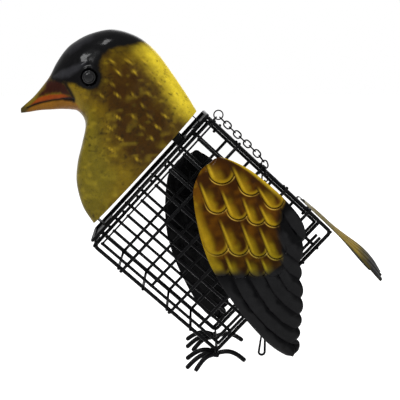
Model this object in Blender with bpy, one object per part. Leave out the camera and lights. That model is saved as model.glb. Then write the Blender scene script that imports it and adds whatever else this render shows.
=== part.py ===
"""A hanging suet feeder made as a goldfinch: a welded wire cage with sheet-metal head, wings and tail.

World axes: +X runs from the beak to the tail, +Y from the near wing to the far wing, +Z is up.
The origin is on the near rim wire, at the neck end of the back, where the chain is linked on.
The cage has its own slanted frame: u runs down the back, v from the back to the belly, and
depth from the near side to the far side.
"""

import math

import bmesh
import bpy
from mathutils import Matrix, Vector

MM = 0.001
GAP = 0.3 * MM

# Cage: the mesh of a standard cake cage.
SLOPE = math.radians(42.9)
BACK_PITCH = 25.4 * MM
SIDE_PITCH = 15.93 * MM
BACK_CELLS = 5
SIDE_CELLS = 8
CAGE_DEPTH = 37 * MM
RIM_RADIUS = 0.8 * MM
WIRE_RADIUS = 0.75 * MM
WELD = 0.3 * MM
RIM_CORNER = 3 * MM
RIM_CORNER_STEPS = 2
RIM_BACK = -0.5 * MM
RIM_NECK = -0.3 * MM
RIM_TAIL_MARGIN = 2.3 * MM
NEAR_BELLY_MARGIN = 3.3 * MM
CURL_TURN = math.radians(100)
CURL_STEPS = 2
WIRE_SIDES = 6
WIRE_GUIDE = (0.13, 0.31, 0.94)

# Side grids: the near one is crimped on, the far one is the door.
PANEL_SHIFT = 2.9 * MM
PANEL_TAIL_MARGIN = 3.7 * MM
DOUBLE_WIRE_SPACING = 3.6 * MM
PANEL_LIFT = 2.3 * MM
WIRE_END = 0.9 * MM
LOOP_TURN = math.radians(205)
HOOK_TURN = math.radians(140)
LOOP_STEPS = 5
LOOP_TAIL = 5.5 * MM
DOOR_TOP_WIRE = 2.7 * MM
CRIMPED_WIRES = (1, 3)
DOOR_LOOPS = 3

# Neck pan, between the head and the cage.
SHEET = 0.8 * MM
PAN_SIDE = 2 * MM
PAN_FLANGE = 5 * MM
PAN_TOP = -1.5 * MM
PAN_BELLY_MARGIN = 1.06 * MM
PAN_CORNER = 7 * MM
PAN_CORNER_STEPS = 4

# Head: two stamped halves that meet on the middle plane.
NECK_BACK_INSET = 1.6 * MM
NECK_BELLY_INSET = 5.84 * MM
NECK_RIM = 11 * MM
HEAD_UPPER_SHARES = (
    (0, -0.5), (0.117, -0.533), (0.293, -0.574), (0.454, -0.601), (0.599, -0.586),
    (0.731, -0.516), (0.815, -0.402), (0.854, -0.297), (0.863, -0.221), (0.852, -0.123),
    (0.83, -0.032), (0.823, 0.043), (0.82, 0.132), (0.823, 0.214), (0.827, 0.256),
)
HEAD_LOWER_SHARES = (
    (0, 0.5), (0.127, 0.461), (0.254, 0.374), (0.338, 0.27), (0.399, 0.156),
    (0.453, 0.058), (0.503, 0.019), (0.558, 0.014), (0.592, 0.034), (0.618, 0.055),
    (0.649, 0.083), (0.69, 0.125), (0.736, 0.173), (0.783, 0.226), (0.819, 0.268),
)
HEAD_HALF_WIDTH_SHARES = (
    0.135, 0.152, 0.17, 0.187, 0.197, 0.2, 0.19, 0.17, 0.146, 0.117, 0.088, 0.063, 0.042, 0.022, 0.008,
)
HEAD_FULLNESS_SHARE = 0.85
HEAD_ROUND_STEPS = 8
HEAD_STATION_STEPS = 2
HEAD_LEAST_WALL_SHARE = 0.4
EYE_STATION_SHARE = 0.402
EYE_TURN = math.radians(90)
EYE_RADIUS = 5.2 * MM
EYE_BULGE = 3.2 * MM
EYE_SEGMENTS = 12
EYE_RINGS = 6

# Tabs that hold the head to the pan.
TAB_WIDTH = 7 * MM
TAB_FOOT = 7 * MM
TAB_REACH = 5 * MM
TAB_TOP_INSET = 4.5 * MM
TAB_SIDE_PLACE = 27 * MM
TAB_SIDE_INSET = 4.2 * MM

# Wings: one crowned stamping with lapped feathers, made for each side.
WING_LENGTH = 159.5 * MM
WING_CROWN = 8 * MM
WING_ARCH_POWER = 0.8
WING_TAPER_POWER = 0.5
WING_TAPER_SHARES = (0.08, 0.92)
# Down the wing: the place, the leading edge and the trailing edge.
WING_EDGE_SHARES = (
    (0, -0.02, 0.012), (0.023, -0.083, 0.041), (0.057, -0.125, 0.078), (0.1, -0.158, 0.116),
    (0.16, -0.178, 0.157), (0.24, -0.194, 0.203), (0.32, -0.204, 0.241), (0.4, -0.208, 0.266),
    (0.46, -0.206, 0.27), (0.51, -0.199, 0.257), (0.58, -0.187, 0.213), (0.61, -0.181, 0.208),
    (0.64, -0.174, 0.182), (0.69, -0.159, 0.176), (0.775, -0.133, 0.138), (0.848, -0.108, 0.108),
    (0.905, -0.078, 0.078), (0.955, -0.045, 0.045), (1, -0.004, 0.006),
)
# The lines that cross the sheet: where each meets the leading and the trailing edge, how much it
# bows with the feather tips, and how much of the feathers' step it stands up.
WING_LINE_SHARES = (
    (0, 0, 0, 0), (0.01, 0.09, 0, 0.2), (0.02, 0.2, 0.5, 0.6),
    (0.03, 0.36, 1, 1), (0.042, 0.374, 1, 0), (0.1, 0.42, 0.5, 0.6),
    (0.185, 0.463, 1, 1), (0.198, 0.477, 1, 0), (0.3, 0.5, 0.5, 0.6),
    (0.398, 0.582, 1, 1), (0.411, 0.597, 1, 0), (0.512, 0.644, 1, 1), (0.525, 0.66, 1, 0),
)
# The notches between the long feathers: one on the leading edge at the tip, then up the trailing edge.
WING_NOTCH_SHARES = (0.975, 0.96, 0.905, 0.848, 0.775, 0.69)
WING_COLUMNS = 20
COVERT_COUNT = 4
COVERT_REACH_SHARE = 0.03
COVERT_STEP = 0.8 * MM
COVERT_DOME = 0.4 * MM
LONG_FEATHER_STEPS = 5
LONG_FEATHER_REACH_SHARES = (0.009, 0.033)
LONG_FEATHER_RIDGE = 0.9 * MM
NEAR_WING_TOP = (5.1 * MM, -10.5 * MM, -26.3 * MM)
NEAR_WING_LEAN = math.radians(19.45)
FAR_WING_TOP = (-7 * MM, 47.5 * MM, -29.1 * MM)
FAR_WING_LEAN = math.radians(6.45)
WING_FLARE = math.radians(9.2)
STAPLE_RADIUS = 1 * MM
STAPLE_POINTS = ((7, 4), (7, 9))

# Tail.
TAIL_LENGTH = 90 * MM
TAIL_ROOT = 101 * MM
TAIL_SHARES = (
    (0, 0.11, 0.055), (0.12, 0.14, 0.062), (0.28, 0.165, 0.069), (0.42, 0.18, 0.075),
    (0.56, 0.195, 0.08), (0.7, 0.21, 0.086), (0.82, 0.215, 0.084), (0.92, 0.2, 0.07), (1, 0.17, 0.05),
)
TAIL_DROP = 5 * MM
TAIL_NOTCH = 11 * MM
TAIL_COLUMNS = 10
TAIL_RIDGE_POWER = 1.5
TAIL_NOTCH_POWER = 3
TAIL_BEND_SHARE = 0.28
CLIP_LENGTH = 13 * MM
CLIP_POST = 2 * MM
CLIP_WIRE = 4

# Feet: bent steel rods on a short bar, in world coordinates from the belly corner.
TOE_RADIUS = 1.5 * MM
FOOT_BAR_RADIUS = 2.1 * MM
FOOT_BAR_LENGTH = 12 * MM
TOE_ARCH = 4 * MM
TOE_SPREAD = 3.6 * MM
TOE_STEPS = 4
NEAR_FOOT_DEPTH = 2 * MM
FAR_FOOT_DEPTH = 33 * MM
NEAR_TOES = (
    (-24 * MM, 5 * MM, -7 * MM), (-24.5 * MM, -4 * MM, -11 * MM), (-18 * MM, -14 * MM, -9 * MM),
)
NEAR_BACK_TOE = (23 * MM, -4 * MM, -6 * MM)
FAR_TOES = (
    (-24 * MM, 8 * MM, -6 * MM), (-24.5 * MM, -2 * MM, -9 * MM), (-20 * MM, -12 * MM, -8 * MM),
)
FAR_BACK_TOE = (24 * MM, 3 * MM, -6 * MM)

# Chain.
LINK_WIRE = 0.45 * MM
LINK_REACH = 3.15 * MM
LINK_BOW = 2.25 * MM
LINK_SLACK = 0.25 * MM
LINK_SIDES = 5
LEAD_LINKS = 9
DROP_LINKS = 26
RIM_LINK_REACH = 3.45 * MM
RIM_LINK_PLACE = 1.5 * MM
RING_RADIUS = 3.45 * MM
RING_WIRE = 0.5 * MM
RING_STEPS = 14
RING_LEAD_TURN = math.radians(8)
LEAD_HEIGHT = 6.4 * MM
LEAD_FIRST_POINT = 16 * MM
LEAD_SECOND_POINT = 38 * MM
LEAD_TURN_POINT = 47 * MM
LEAD_TURN_HEIGHT = 5.6 * MM
DROP_PLACE = 41.3 * MM
DROP_TOP = 33 * MM
DROP_DEPTH = 6.3 * MM
HOOK_WIRE = 0.6 * MM
HOOK_EYE = 2 * MM
HOOK_WIDTH = 2.4 * MM
HOOK_LENGTH = 13 * MM
HOOK_OPENING = 3 * MM
HOOK_EYE_START = math.radians(-35)
HOOK_EYE_END = math.radians(265)
BEND_STEPS = 6

# Values that follow from the sizes above.
WIRE_STEP = 2 * WIRE_RADIUS - WELD
RIM_STEP = RIM_RADIUS + WIRE_RADIUS - WELD
LOOP_RADIUS = RIM_RADIUS + GAP + WIRE_RADIUS
CAGE_LENGTH = BACK_CELLS * BACK_PITCH
CAGE_HEIGHT = SIDE_CELLS * SIDE_PITCH
RIM_TAIL = CAGE_LENGTH + RIM_TAIL_MARGIN
NEAR_RIM_BELLY = CAGE_HEIGHT + NEAR_BELLY_MARGIN
FAR_RIM_BELLY = CAGE_HEIGHT
HALF_DEPTH = CAGE_DEPTH / 2
WALL_CLEAR = RIM_STEP + WIRE_RADIUS + GAP
PAN_BOTTOM = CAGE_HEIGHT + PAN_BELLY_MARGIN
NECK_LENGTH = CAGE_HEIGHT - NECK_BACK_INSET - NECK_BELLY_INSET
NECK_MIDDLE = NECK_BACK_INSET + NECK_LENGTH / 2


def cage_point(u, depth, v):
    """A place in the cage's own frame."""
    return Vector((u, depth, -v))


def to_world(u, depth, v):
    """The same place in world coordinates."""
    return Matrix.Rotation(SLOPE, 3, "Y") @ cage_point(u, depth, v)


def material(name, color, roughness, metallic):
    """A painted or plain surface."""
    made = bpy.data.materials.new(name)
    made.use_nodes = True
    shader = made.node_tree.nodes["Principled BSDF"]
    shader.inputs["Base Color"].default_value = (*color, 1)
    shader.inputs["Roughness"].default_value = roughness
    shader.inputs["Metallic"].default_value = metallic
    return made


def empty(name, location, parent=None, rotation=(0, 0, 0)):
    """A frame, or a joint's axis, that pieces are parented to."""
    made = bpy.data.objects.new(name, None)
    bpy.context.scene.collection.objects.link(made)
    made.location = location
    made.rotation_euler = rotation
    made.parent = parent
    return made


def piece(name, bm, finish, parent, location=(0, 0, 0), rotation=(0, 0, 0)):
    """A named solid from a bmesh, with its faces turned out and its round sides smooth."""
    bmesh.ops.recalc_face_normals(bm, faces=bm.faces)
    mesh = bpy.data.meshes.new(name)
    bm.to_mesh(mesh)
    bm.free()
    mesh.shade_smooth()
    mesh.set_sharp_from_angle(angle=SLOPE)
    mesh.materials.append(finish)
    made = bpy.data.objects.new(name, mesh)
    bpy.context.scene.collection.objects.link(made)
    made.location = location
    made.rotation_euler = rotation
    made.parent = parent
    return made


def boolean(target, tool, operation):
    """Joins a helper solid to a piece, or cuts the piece with it."""
    tool.hide_render = True
    tool.display_type = "WIRE"
    change = target.modifiers.new(operation.title(), "BOOLEAN")
    change.operation = operation
    change.solver = "EXACT"
    change.object = tool


def add_loft(bm, rings, closed=True, capped=True):
    """Skins a row of rings that have equal numbers of points."""
    rows = [[bm.verts.new(point) for point in ring] for ring in rings]
    count = len(rows[0])
    pairs = list(zip(rows, rows[1:]))
    if closed:
        pairs.append((rows[-1], rows[0]))
    for first, second in pairs:
        for i in range(count):
            j = (i + 1) % count
            bm.faces.new((first[i], first[j], second[j], second[i]))
    if capped and not closed:
        bm.faces.new(rows[0])
        bm.faces.new(rows[-1])
    return rows


def add_wire(bm, route, radius, sides=WIRE_SIDES, closed=False):
    """Adds a round wire along a route of points."""
    count = len(route)
    rings = []
    across = None
    for i, point in enumerate(route):
        after = route[(i + 1) % count] if closed or i + 1 < count else None
        before = route[i - 1] if closed or i else None
        ahead = (after - point).normalized() if after is not None else (point - before).normalized()
        behind = (point - before).normalized() if before is not None else ahead
        along = (ahead + behind).normalized()
        if across is None:
            across = along.cross(Vector(WIRE_GUIDE)).normalized()
            if closed:
                across = ahead.cross(behind).normalized()
        across = (across - along * across.dot(along)).normalized()
        up = along.cross(across)
        turns = [math.tau * (k + 0.5) / sides for k in range(sides)]
        rings.append([point + (across * math.cos(t) + up * math.sin(t)) * radius for t in turns])
    add_loft(bm, rings, closed=closed)


def add_sheet_faces(bm, layers):
    """Closes a sheet from its front and back layers, each made of rows of vertices."""
    for rows in layers:
        for first, second in zip(rows, rows[1:]):
            for k in range(len(first) - 1):
                bm.faces.new((first[k], first[k + 1], second[k + 1], second[k]))
    front, back = layers
    border = [(row[0], other[0]) for row, other in zip(front, back)]
    border += list(zip(front[-1], back[-1]))[1:-1]
    border += [(row[-1], other[-1]) for row, other in zip(front[::-1], back[::-1])]
    border += list(zip(front[0], back[0]))[1:-1][::-1]
    for (a, b), (c, d) in zip(border, border[1:] + border[:1]):
        bm.faces.new((a, b, d, c))


def add_prism(bm, profile, depth):
    """Adds a solid with a flat profile of points, pushed along a vector."""
    back = [Vector(point) for point in profile]
    add_loft(bm, [back, [point + depth for point in back]], closed=False)


def arc(center, first, second, start, end, steps):
    """Points on an arc, from start to end, turning from the first axis to the second."""
    turns = [start + (end - start) * k / steps for k in range(steps + 1)]
    return [center + first * math.cos(t) + second * math.sin(t) for t in turns]


def rounded_loop(left, right, top, bottom, radius, steps):
    """The (u, v) points of a rectangle with round corners."""
    places = (
        (left + radius, top + radius, math.pi),
        (right - radius, top + radius, 1.5 * math.pi),
        (right - radius, bottom - radius, 0),
        (left + radius, bottom - radius, 0.5 * math.pi),
    )
    points = []
    for u, v, start in places:
        for k in range(steps + 1):
            turn = start + 0.5 * math.pi * k / steps
            points.append((u + radius * math.cos(turn), v + radius * math.sin(turn)))
    return points


def add_cross_wire(bm, near, far, outward):
    """A wire from the far rim to the near rim, its near end curled round the rim wire."""
    away = outward.normalized() * RIM_STEP
    toward_near = Vector((0, -RIM_STEP, 0))
    route = arc(near, away, toward_near, CURL_TURN, 0, CURL_STEPS)
    route.append(far + away)
    route.append(far + away + Vector((0, RIM_RADIUS, 0)))
    add_wire(bm, route, WIRE_RADIUS)


def make_basket(cage, finish):
    """The two rims and the four walls of cross wires between them."""
    rims = bmesh.new()
    for depth, belly in ((0, NEAR_RIM_BELLY), (CAGE_DEPTH, FAR_RIM_BELLY)):
        loop = rounded_loop(RIM_NECK, RIM_TAIL, RIM_BACK, belly, RIM_CORNER, RIM_CORNER_STEPS)
        add_wire(rims, [cage_point(u, depth, v) for u, v in loop], RIM_RADIUS, closed=True)
    wires = bmesh.new()
    bellies = (NEAR_RIM_BELLY, FAR_RIM_BELLY)
    for k in range(1, BACK_CELLS):
        u = k * BACK_PITCH
        near = cage_point(u, 0, RIM_BACK)
        far = cage_point(u, CAGE_DEPTH, RIM_BACK)
        add_cross_wire(wires, near, far, Vector((0, 0, 1)))
        near = cage_point(u, 0, bellies[0])
        far = cage_point(u, CAGE_DEPTH, bellies[1])
        add_cross_wire(wires, near, far, Vector((0, 0, -1)))
    for k in range(1, SIDE_CELLS):
        v = k * SIDE_PITCH
        for u, side in ((RIM_NECK, -1), (RIM_TAIL, 1)):
            add_cross_wire(wires, cage_point(u, 0, v), cage_point(u, CAGE_DEPTH, v), Vector((side, 0, 0)))
    inset = RIM_CORNER * (1 - math.sqrt(0.5))
    for u, side in ((RIM_NECK, -1), (RIM_TAIL, 1)):
        corner = u - side * inset
        top = RIM_BACK + inset
        add_cross_wire(
            wires, cage_point(corner, 0, top), cage_point(corner, CAGE_DEPTH, top), Vector((side, 0, 1))
        )
        near = cage_point(corner, 0, bellies[0] - inset)
        far = cage_point(corner, CAGE_DEPTH, bellies[1] - inset)
        add_cross_wire(wires, near, far, Vector((side, 0, -1)))
    basket = piece("basket", rims, finish, cage)
    boolean(basket, piece("basket_cross_wires", wires, finish, cage), "UNION")


def add_loop_wire(bm, u, depth, side, end, hooked=False):
    """A wire down a side grid whose top is looped round the back rim, and whose foot may be hooked."""
    out = Vector((0, side * LOOP_RADIUS, 0))
    up = Vector((0, 0, LOOP_RADIUS))
    route = arc(cage_point(u, depth, RIM_BACK), out, up, LOOP_TURN, 0, LOOP_STEPS)
    if hooked:
        route += arc(cage_point(u, depth, NEAR_RIM_BELLY), out, -up, 0, HOOK_TURN, LOOP_STEPS - 2)
    else:
        route.append(cage_point(u, depth + side * LOOP_RADIUS, end))
    add_wire(bm, route, WIRE_RADIUS)


def make_near_panel(cage, finish):
    """The near side grid, looped over the back rim and hooked under the belly rim."""
    bottom = CAGE_HEIGHT - PANEL_LIFT
    tail = RIM_TAIL - PANEL_TAIL_MARGIN
    down = bmesh.new()
    for k in range(BACK_CELLS):
        add_loop_wire(down, PANEL_SHIFT + k * BACK_PITCH, 0, -1, bottom + WIRE_END, k in CRIMPED_WIRES)
    for u in (tail - DOUBLE_WIRE_SPACING, tail):
        top = cage_point(u, -LOOP_RADIUS, SIDE_PITCH / 2)
        add_wire(down, [top, cage_point(u, -LOOP_RADIUS, bottom + WIRE_END)], WIRE_RADIUS)
    along = bmesh.new()
    depth = -LOOP_RADIUS + WIRE_STEP
    for v in [k * SIDE_PITCH for k in range(1, SIDE_CELLS)] + [bottom]:
        start = cage_point(PANEL_SHIFT - WIRE_END, depth, v)
        add_wire(along, [start, cage_point(tail + WIRE_END, depth, v)], WIRE_RADIUS)
    panel = piece("near_panel", along, finish, cage)
    boolean(panel, piece("near_panel_down_wires", down, finish, cage), "UNION")


def make_door(hinge, finish):
    """The far side grid, which swings up on three loops round the far back rim."""
    away = Vector((0, -CAGE_DEPTH, RIM_BACK))
    depth = CAGE_DEPTH + LOOP_RADIUS
    down = bmesh.new()
    for k in range(BACK_CELLS + 1):
        top = cage_point(k * BACK_PITCH, depth, DOOR_TOP_WIRE - WIRE_END)
        bottom = cage_point(k * BACK_PITCH, depth, CAGE_HEIGHT + WIRE_END)
        add_wire(down, [top + away, bottom + away], WIRE_RADIUS)
    loops = bmesh.new()
    for k in range(DOOR_LOOPS):
        u = BACK_PITCH * (0.5 + 2 * k)
        add_loop_wire(loops, u, CAGE_DEPTH, 1, LOOP_TAIL)
    bmesh.ops.translate(loops, verts=loops.verts, vec=away)
    along = bmesh.new()
    for v in [DOOR_TOP_WIRE] + [k * SIDE_PITCH for k in range(1, SIDE_CELLS + 1)]:
        start = cage_point(-WIRE_END, depth + WIRE_STEP, v)
        end = cage_point(CAGE_LENGTH + WIRE_END, depth + WIRE_STEP, v)
        add_wire(along, [start + away, end + away], WIRE_RADIUS)
    door = piece("door_panel", along, finish, hinge)
    boolean(door, piece("door_down_wires", down, finish, hinge), "UNION")
    boolean(door, piece("door_hinge_loops", loops, finish, hinge), "UNION")


def make_neck_pan(cage, finish):
    """A shallow sheet pan that closes the neck end of the cage and carries the head."""
    web = RIM_NECK - WALL_CLEAR
    lip = web - SHEET - PAN_FLANGE

    def ring(u, inset):
        loop = rounded_loop(
            -PAN_SIDE + inset, CAGE_DEPTH + PAN_SIDE - inset,
            PAN_TOP + inset, PAN_BOTTOM - inset, PAN_CORNER - inset, PAN_CORNER_STEPS,
        )
        return [cage_point(u, depth, v) for depth, v in loop]

    bm = bmesh.new()
    rings = [ring(web, 0), ring(lip, 0), ring(lip, SHEET), ring(web - SHEET, SHEET)]
    add_loft(bm, rings, closed=False)
    piece("neck_plate", bm, finish, cage)


def head_station(t):
    """The upper point, lower point and half width of the head, t stations from the neck."""
    last = len(HEAD_UPPER_SHARES) - 1
    i = min(int(t), last - 1)
    share = t - i

    def smooth(row):
        values = [Vector(row[min(max(i + k, 0), last)]) for k in (-1, 0, 1, 2)]
        a, b, c, d = values
        slope_b = (c - a) / 2
        slope_c = (d - b) / 2
        cube = share ** 3
        square = share ** 2
        blend = b * (2 * cube - 3 * square + 1) + slope_b * (cube - 2 * square + share)
        return blend + c * (3 * square - 2 * cube) + slope_c * (cube - square)

    widths = [(share_of_width, 0) for share_of_width in HEAD_HALF_WIDTH_SHARES]
    points = []
    for row in (HEAD_UPPER_SHARES, HEAD_LOWER_SHARES):
        forward, across = smooth(row) * NECK_LENGTH
        points.append(cage_point(-NECK_RIM - forward, HALF_DEPTH, NECK_MIDDLE + across))
    return points[0], points[1], smooth(widths)[0] * NECK_LENGTH


def head_point(t, turn, side, inset):
    """A point of the head's skin: turn runs from the top seam to the bottom seam."""
    upper, lower, width = head_station(t)
    middle = (upper + lower) / 2
    half = (upper - lower) / 2
    inset = min(inset, HEAD_LEAST_WALL_SHARE * width, HEAD_LEAST_WALL_SHARE * half.length)
    swell = math.sin(turn) ** HEAD_FULLNESS_SHARE * (width - inset)
    height = half.normalized() * ((half.length - inset) * math.cos(turn))
    return middle + height + Vector((0, side * (GAP / 2 + swell), 0))


def make_head_half(cage, name, side, finish, eye_name, eye_finish):
    """One stamped half of the head, with a bead eye set in a hole in its cheek."""
    last = len(HEAD_UPPER_SHARES) - 1
    stations = [k / HEAD_STATION_STEPS for k in range(last * HEAD_STATION_STEPS + 1)]
    turns = [math.pi * k / HEAD_ROUND_STEPS for k in range(HEAD_ROUND_STEPS + 1)]
    rings = []
    for t in stations:
        outer = [head_point(t, turn, side, 0) for turn in turns]
        inner = [head_point(t, turn, side, SHEET) for turn in reversed(turns)]
        rings.append(outer + inner)
    bm = bmesh.new()
    rows = add_loft(bm, rings, closed=False, capped=False)
    for row in (rows[0], rows[-1]):
        for k in range(HEAD_ROUND_STEPS):
            bm.faces.new((row[k], row[k + 1], row[-2 - k], row[-1 - k]))
    half = piece(name, bm, finish, cage)

    place = head_point(EYE_STATION_SHARE * last, EYE_TURN, side, SHEET / 2)

    def bead(bead_name, extra, used_finish):
        made = bmesh.new()
        bmesh.ops.create_uvsphere(made, u_segments=EYE_SEGMENTS, v_segments=EYE_RINGS, radius=1)
        size = Vector((EYE_RADIUS + extra, EYE_RADIUS + extra, EYE_BULGE + extra))
        bmesh.ops.scale(made, verts=made.verts, vec=size)
        return piece(bead_name, made, used_finish, cage, place, (math.pi / 2, 0, 0))

    bead(eye_name, 0, eye_finish)
    boolean(half, bead(name + "_eye_hole", GAP, finish), "DIFFERENCE")


def make_tabs(cage, finish):
    """Four bent strips that join the neck of the head to the pan."""
    web = RIM_NECK - WALL_CLEAR - SHEET - GAP
    tip = -NECK_RIM - TAB_REACH
    half = TAB_WIDTH / 2
    neck_half = HEAD_HALF_WIDTH_SHARES[0] * NECK_LENGTH
    neck_top = NECK_MIDDLE - NECK_LENGTH / 2
    neck_bottom = NECK_MIDDLE + NECK_LENGTH / 2

    def bent(name, place, inward, width):
        corners = (
            (web, 0), (web, TAB_FOOT), (web - SHEET, TAB_FOOT),
            (web - SHEET, SHEET), (tip, SHEET), (tip, 0),
        )
        profile = [place + Vector((u, 0, 0)) + inward * rise - width / 2 for u, rise in corners]
        bm = bmesh.new()
        add_prism(bm, profile, width)
        piece(name, bm, finish, cage)

    sideways = Vector((0, 2 * half, 0))
    upright = Vector((0, 0, 2 * half))
    top = cage_point(0, HALF_DEPTH, neck_top + TAB_TOP_INSET)
    bottom = cage_point(0, HALF_DEPTH, neck_bottom - TAB_TOP_INSET)
    bent("top_head_tab", top, Vector((0, 0, -1)), sideways)
    bent("bottom_head_tab", bottom, Vector((0, 0, 1)), sideways)
    for name, side in (("near_head_tab", -1), ("far_head_tab", 1)):
        depth = HALF_DEPTH + side * (neck_half - TAB_SIDE_INSET)
        bent(name, cage_point(0, depth, TAB_SIDE_PLACE), Vector((0, -side, 0)), upright)


def wing_edges(along):
    """The leading and the trailing edge at a place down the wing."""
    for first, second in zip(WING_EDGE_SHARES, WING_EDGE_SHARES[1:]):
        if along <= second[0]:
            part = (along - first[0]) / (second[0] - first[0])
            return tuple(a + (b - a) * part for a, b in zip(first[1:], second[1:]))
    return WING_EDGE_SHARES[-1][1:]


def wing_crown(across, along):
    """How far the plain crown stands off the plane of the wing's edge."""
    leading, trailing = wing_edges(along)
    column = min(max((across - leading) / (trailing - leading), 0), 1)
    arch = math.sin(math.pi * column) ** WING_ARCH_POWER
    low, high = WING_TAPER_SHARES
    taper = math.sin(math.pi * (low + (high - low) * min(along, 1))) ** WING_TAPER_POWER
    return WING_CROWN * arch * taper


def long_feather_ends():
    """The scalloped end of the wing, from its tip up the trailing edge."""
    notches = [(wing_edges(WING_NOTCH_SHARES[0])[0], WING_NOTCH_SHARES[0])]
    notches += [(wing_edges(along)[1], along) for along in WING_NOTCH_SHARES[1:]]
    steps = WING_COLUMNS // (len(notches) - 1)
    ends = [notches[0]]
    for first, second in zip(notches, notches[1:]):
        for k in range(1, steps + 1):
            part = k / steps
            bow = math.sin(math.pi * part)
            pairs = zip(first, second, LONG_FEATHER_REACH_SHARES)
            ends.append(tuple(a + (b - a) * part + reach * bow for a, b, reach in pairs))
    return ends


def wing_sheet():
    """The sheet's points, line by line: place across, place along and the feathers' lift."""
    lines = []
    columns = [k / WING_COLUMNS for k in range(WING_COLUMNS + 1)]
    for leading, trailing, bowed, raised in WING_LINE_SHARES:
        line = []
        for column in columns:
            bow = abs(math.sin(math.pi * COVERT_COUNT * column))
            along = leading + (trailing - leading) * column + COVERT_REACH_SHARE * bowed * bow
            left, right = wing_edges(along)
            lift = raised * (COVERT_STEP + COVERT_DOME * bow)
            line.append((left + (right - left) * column, along, lift))
        lines.append(line)
    starts = lines[-1]
    ends = long_feather_ends()
    feathers = len(WING_NOTCH_SHARES) - 1
    for step in range(1, LONG_FEATHER_STEPS + 1):
        part = step / LONG_FEATHER_STEPS
        edge_along = starts[0][1] + (ends[0][1] - starts[0][1]) * part
        edge_across = starts[0][0] + (ends[0][0] - starts[0][0]) * part
        bulge = wing_edges(edge_along)[0] - edge_across
        line = []
        for column, start, end in zip(columns, starts, ends):
            across = start[0] + (end[0] - start[0]) * part + bulge * (1 - column)
            along = start[1] + (end[1] - start[1]) * part
            ridge = abs(math.sin(math.pi * feathers * column))
            line.append((across, along, LONG_FEATHER_RIDGE * ridge))
        lines.append(line)
    return lines


def wing_place(side, top, lean):
    """The wing's own frame: local -Z runs to the tip, local X across, local Y through the sheet."""
    turn = Matrix.Rotation(-lean, 4, "Y") @ Matrix.Rotation(side * WING_FLARE, 4, "X")
    return Matrix.Translation(top) @ turn


def make_wing(name, side, parent, top, lean, finish):
    """A crowned wing stamped with rows of lapped feathers and long scalloped ones."""
    bm = bmesh.new()
    lines = wing_sheet()
    layers = []
    for offset in (0, SHEET):
        rows = []
        for line in lines:
            row = []
            for across, along, lift in line:
                rise = side * (wing_crown(across, along) + lift - offset)
                row.append(bm.verts.new((across * WING_LENGTH, rise, -along * WING_LENGTH)))
            rows.append(row)
        layers.append(rows)
    add_sheet_faces(bm, layers)
    wing = piece(name, bm, finish, parent)
    wing.matrix_parent_inverse = parent.matrix_world.inverted()
    wing.matrix_basis = wing_place(side, top, lean)


def make_staple(name, side, parent, top, lean, behind, finish):
    """A heavy wire staple, caught behind the side grid, whose legs carry the wing."""
    frame = wing_place(side, top, lean)
    inner = behind - side * (GAP + STAPLE_RADIUS)
    lines = wing_sheet()
    ends = []
    for line, column in STAPLE_POINTS:
        across, along, lift = lines[line][column]
        rise = side * (wing_crown(across, along) + lift - SHEET - 2 * GAP)
        ends.append(frame @ Vector((across * WING_LENGTH, rise, -along * WING_LENGTH)))
    turns = [Vector((end.x, inner, end.z)) for end in ends]
    bm = bmesh.new()
    add_wire(bm, [ends[0], turns[0], turns[1], ends[1]], STAPLE_RADIUS)
    staple = piece(name, bm, finish, parent)
    staple.matrix_parent_inverse = parent.matrix_world.inverted()


def make_tail(cage, finish, dark):
    """A ridged, notched tail sheet and the saddle that clamps it to a wire of the back."""
    rest = RIM_BACK - WALL_CLEAR
    bm = bmesh.new()
    layers = []
    for offset in (SHEET, 0):
        rows = []
        for share, half_share, ridge_share in TAIL_SHARES:
            row = []
            for k in range(TAIL_COLUMNS + 1):
                across = 2 * k / TAIL_COLUMNS - 1
                notch = TAIL_NOTCH * share ** TAIL_NOTCH_POWER * (1 - abs(across))
                u = TAIL_ROOT + share * TAIL_LENGTH - notch
                ridge = ridge_share * TAIL_LENGTH * (1 - abs(across) ** TAIL_RIDGE_POWER)
                drop = TAIL_DROP * max(share - TAIL_BEND_SHARE, 0)
                depth = HALF_DEPTH + across * half_share * TAIL_LENGTH
                row.append(bm.verts.new(cage_point(u, depth, rest + drop - ridge - offset)))
            rows.append(row)
        layers.append(rows)
    add_sheet_faces(bm, layers)
    piece("tail", bm, finish, cage)

    wire = CLIP_WIRE * BACK_PITCH
    bar = RIM_BACK - RIM_STEP + WIRE_RADIUS + GAP
    start = wire - CLIP_LENGTH / 2
    end = wire + CLIP_LENGTH / 2
    crest = TAIL_SHARES[0][2] * TAIL_LENGTH
    roof = rest - crest + SHEET
    profile = (
        (start, bar + SHEET), (end, bar + SHEET), (end, roof), (end - CLIP_POST, roof),
        (end - CLIP_POST, bar), (start + CLIP_POST, bar), (start + CLIP_POST, roof), (start, roof),
    )
    bm = bmesh.new()
    half = CLIP_POST
    points = [cage_point(u, HALF_DEPTH - half / 2, v) for u, v in profile]
    add_prism(bm, points, Vector((0, half, 0)))
    piece("tail_clip", bm, dark, cage)


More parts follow.
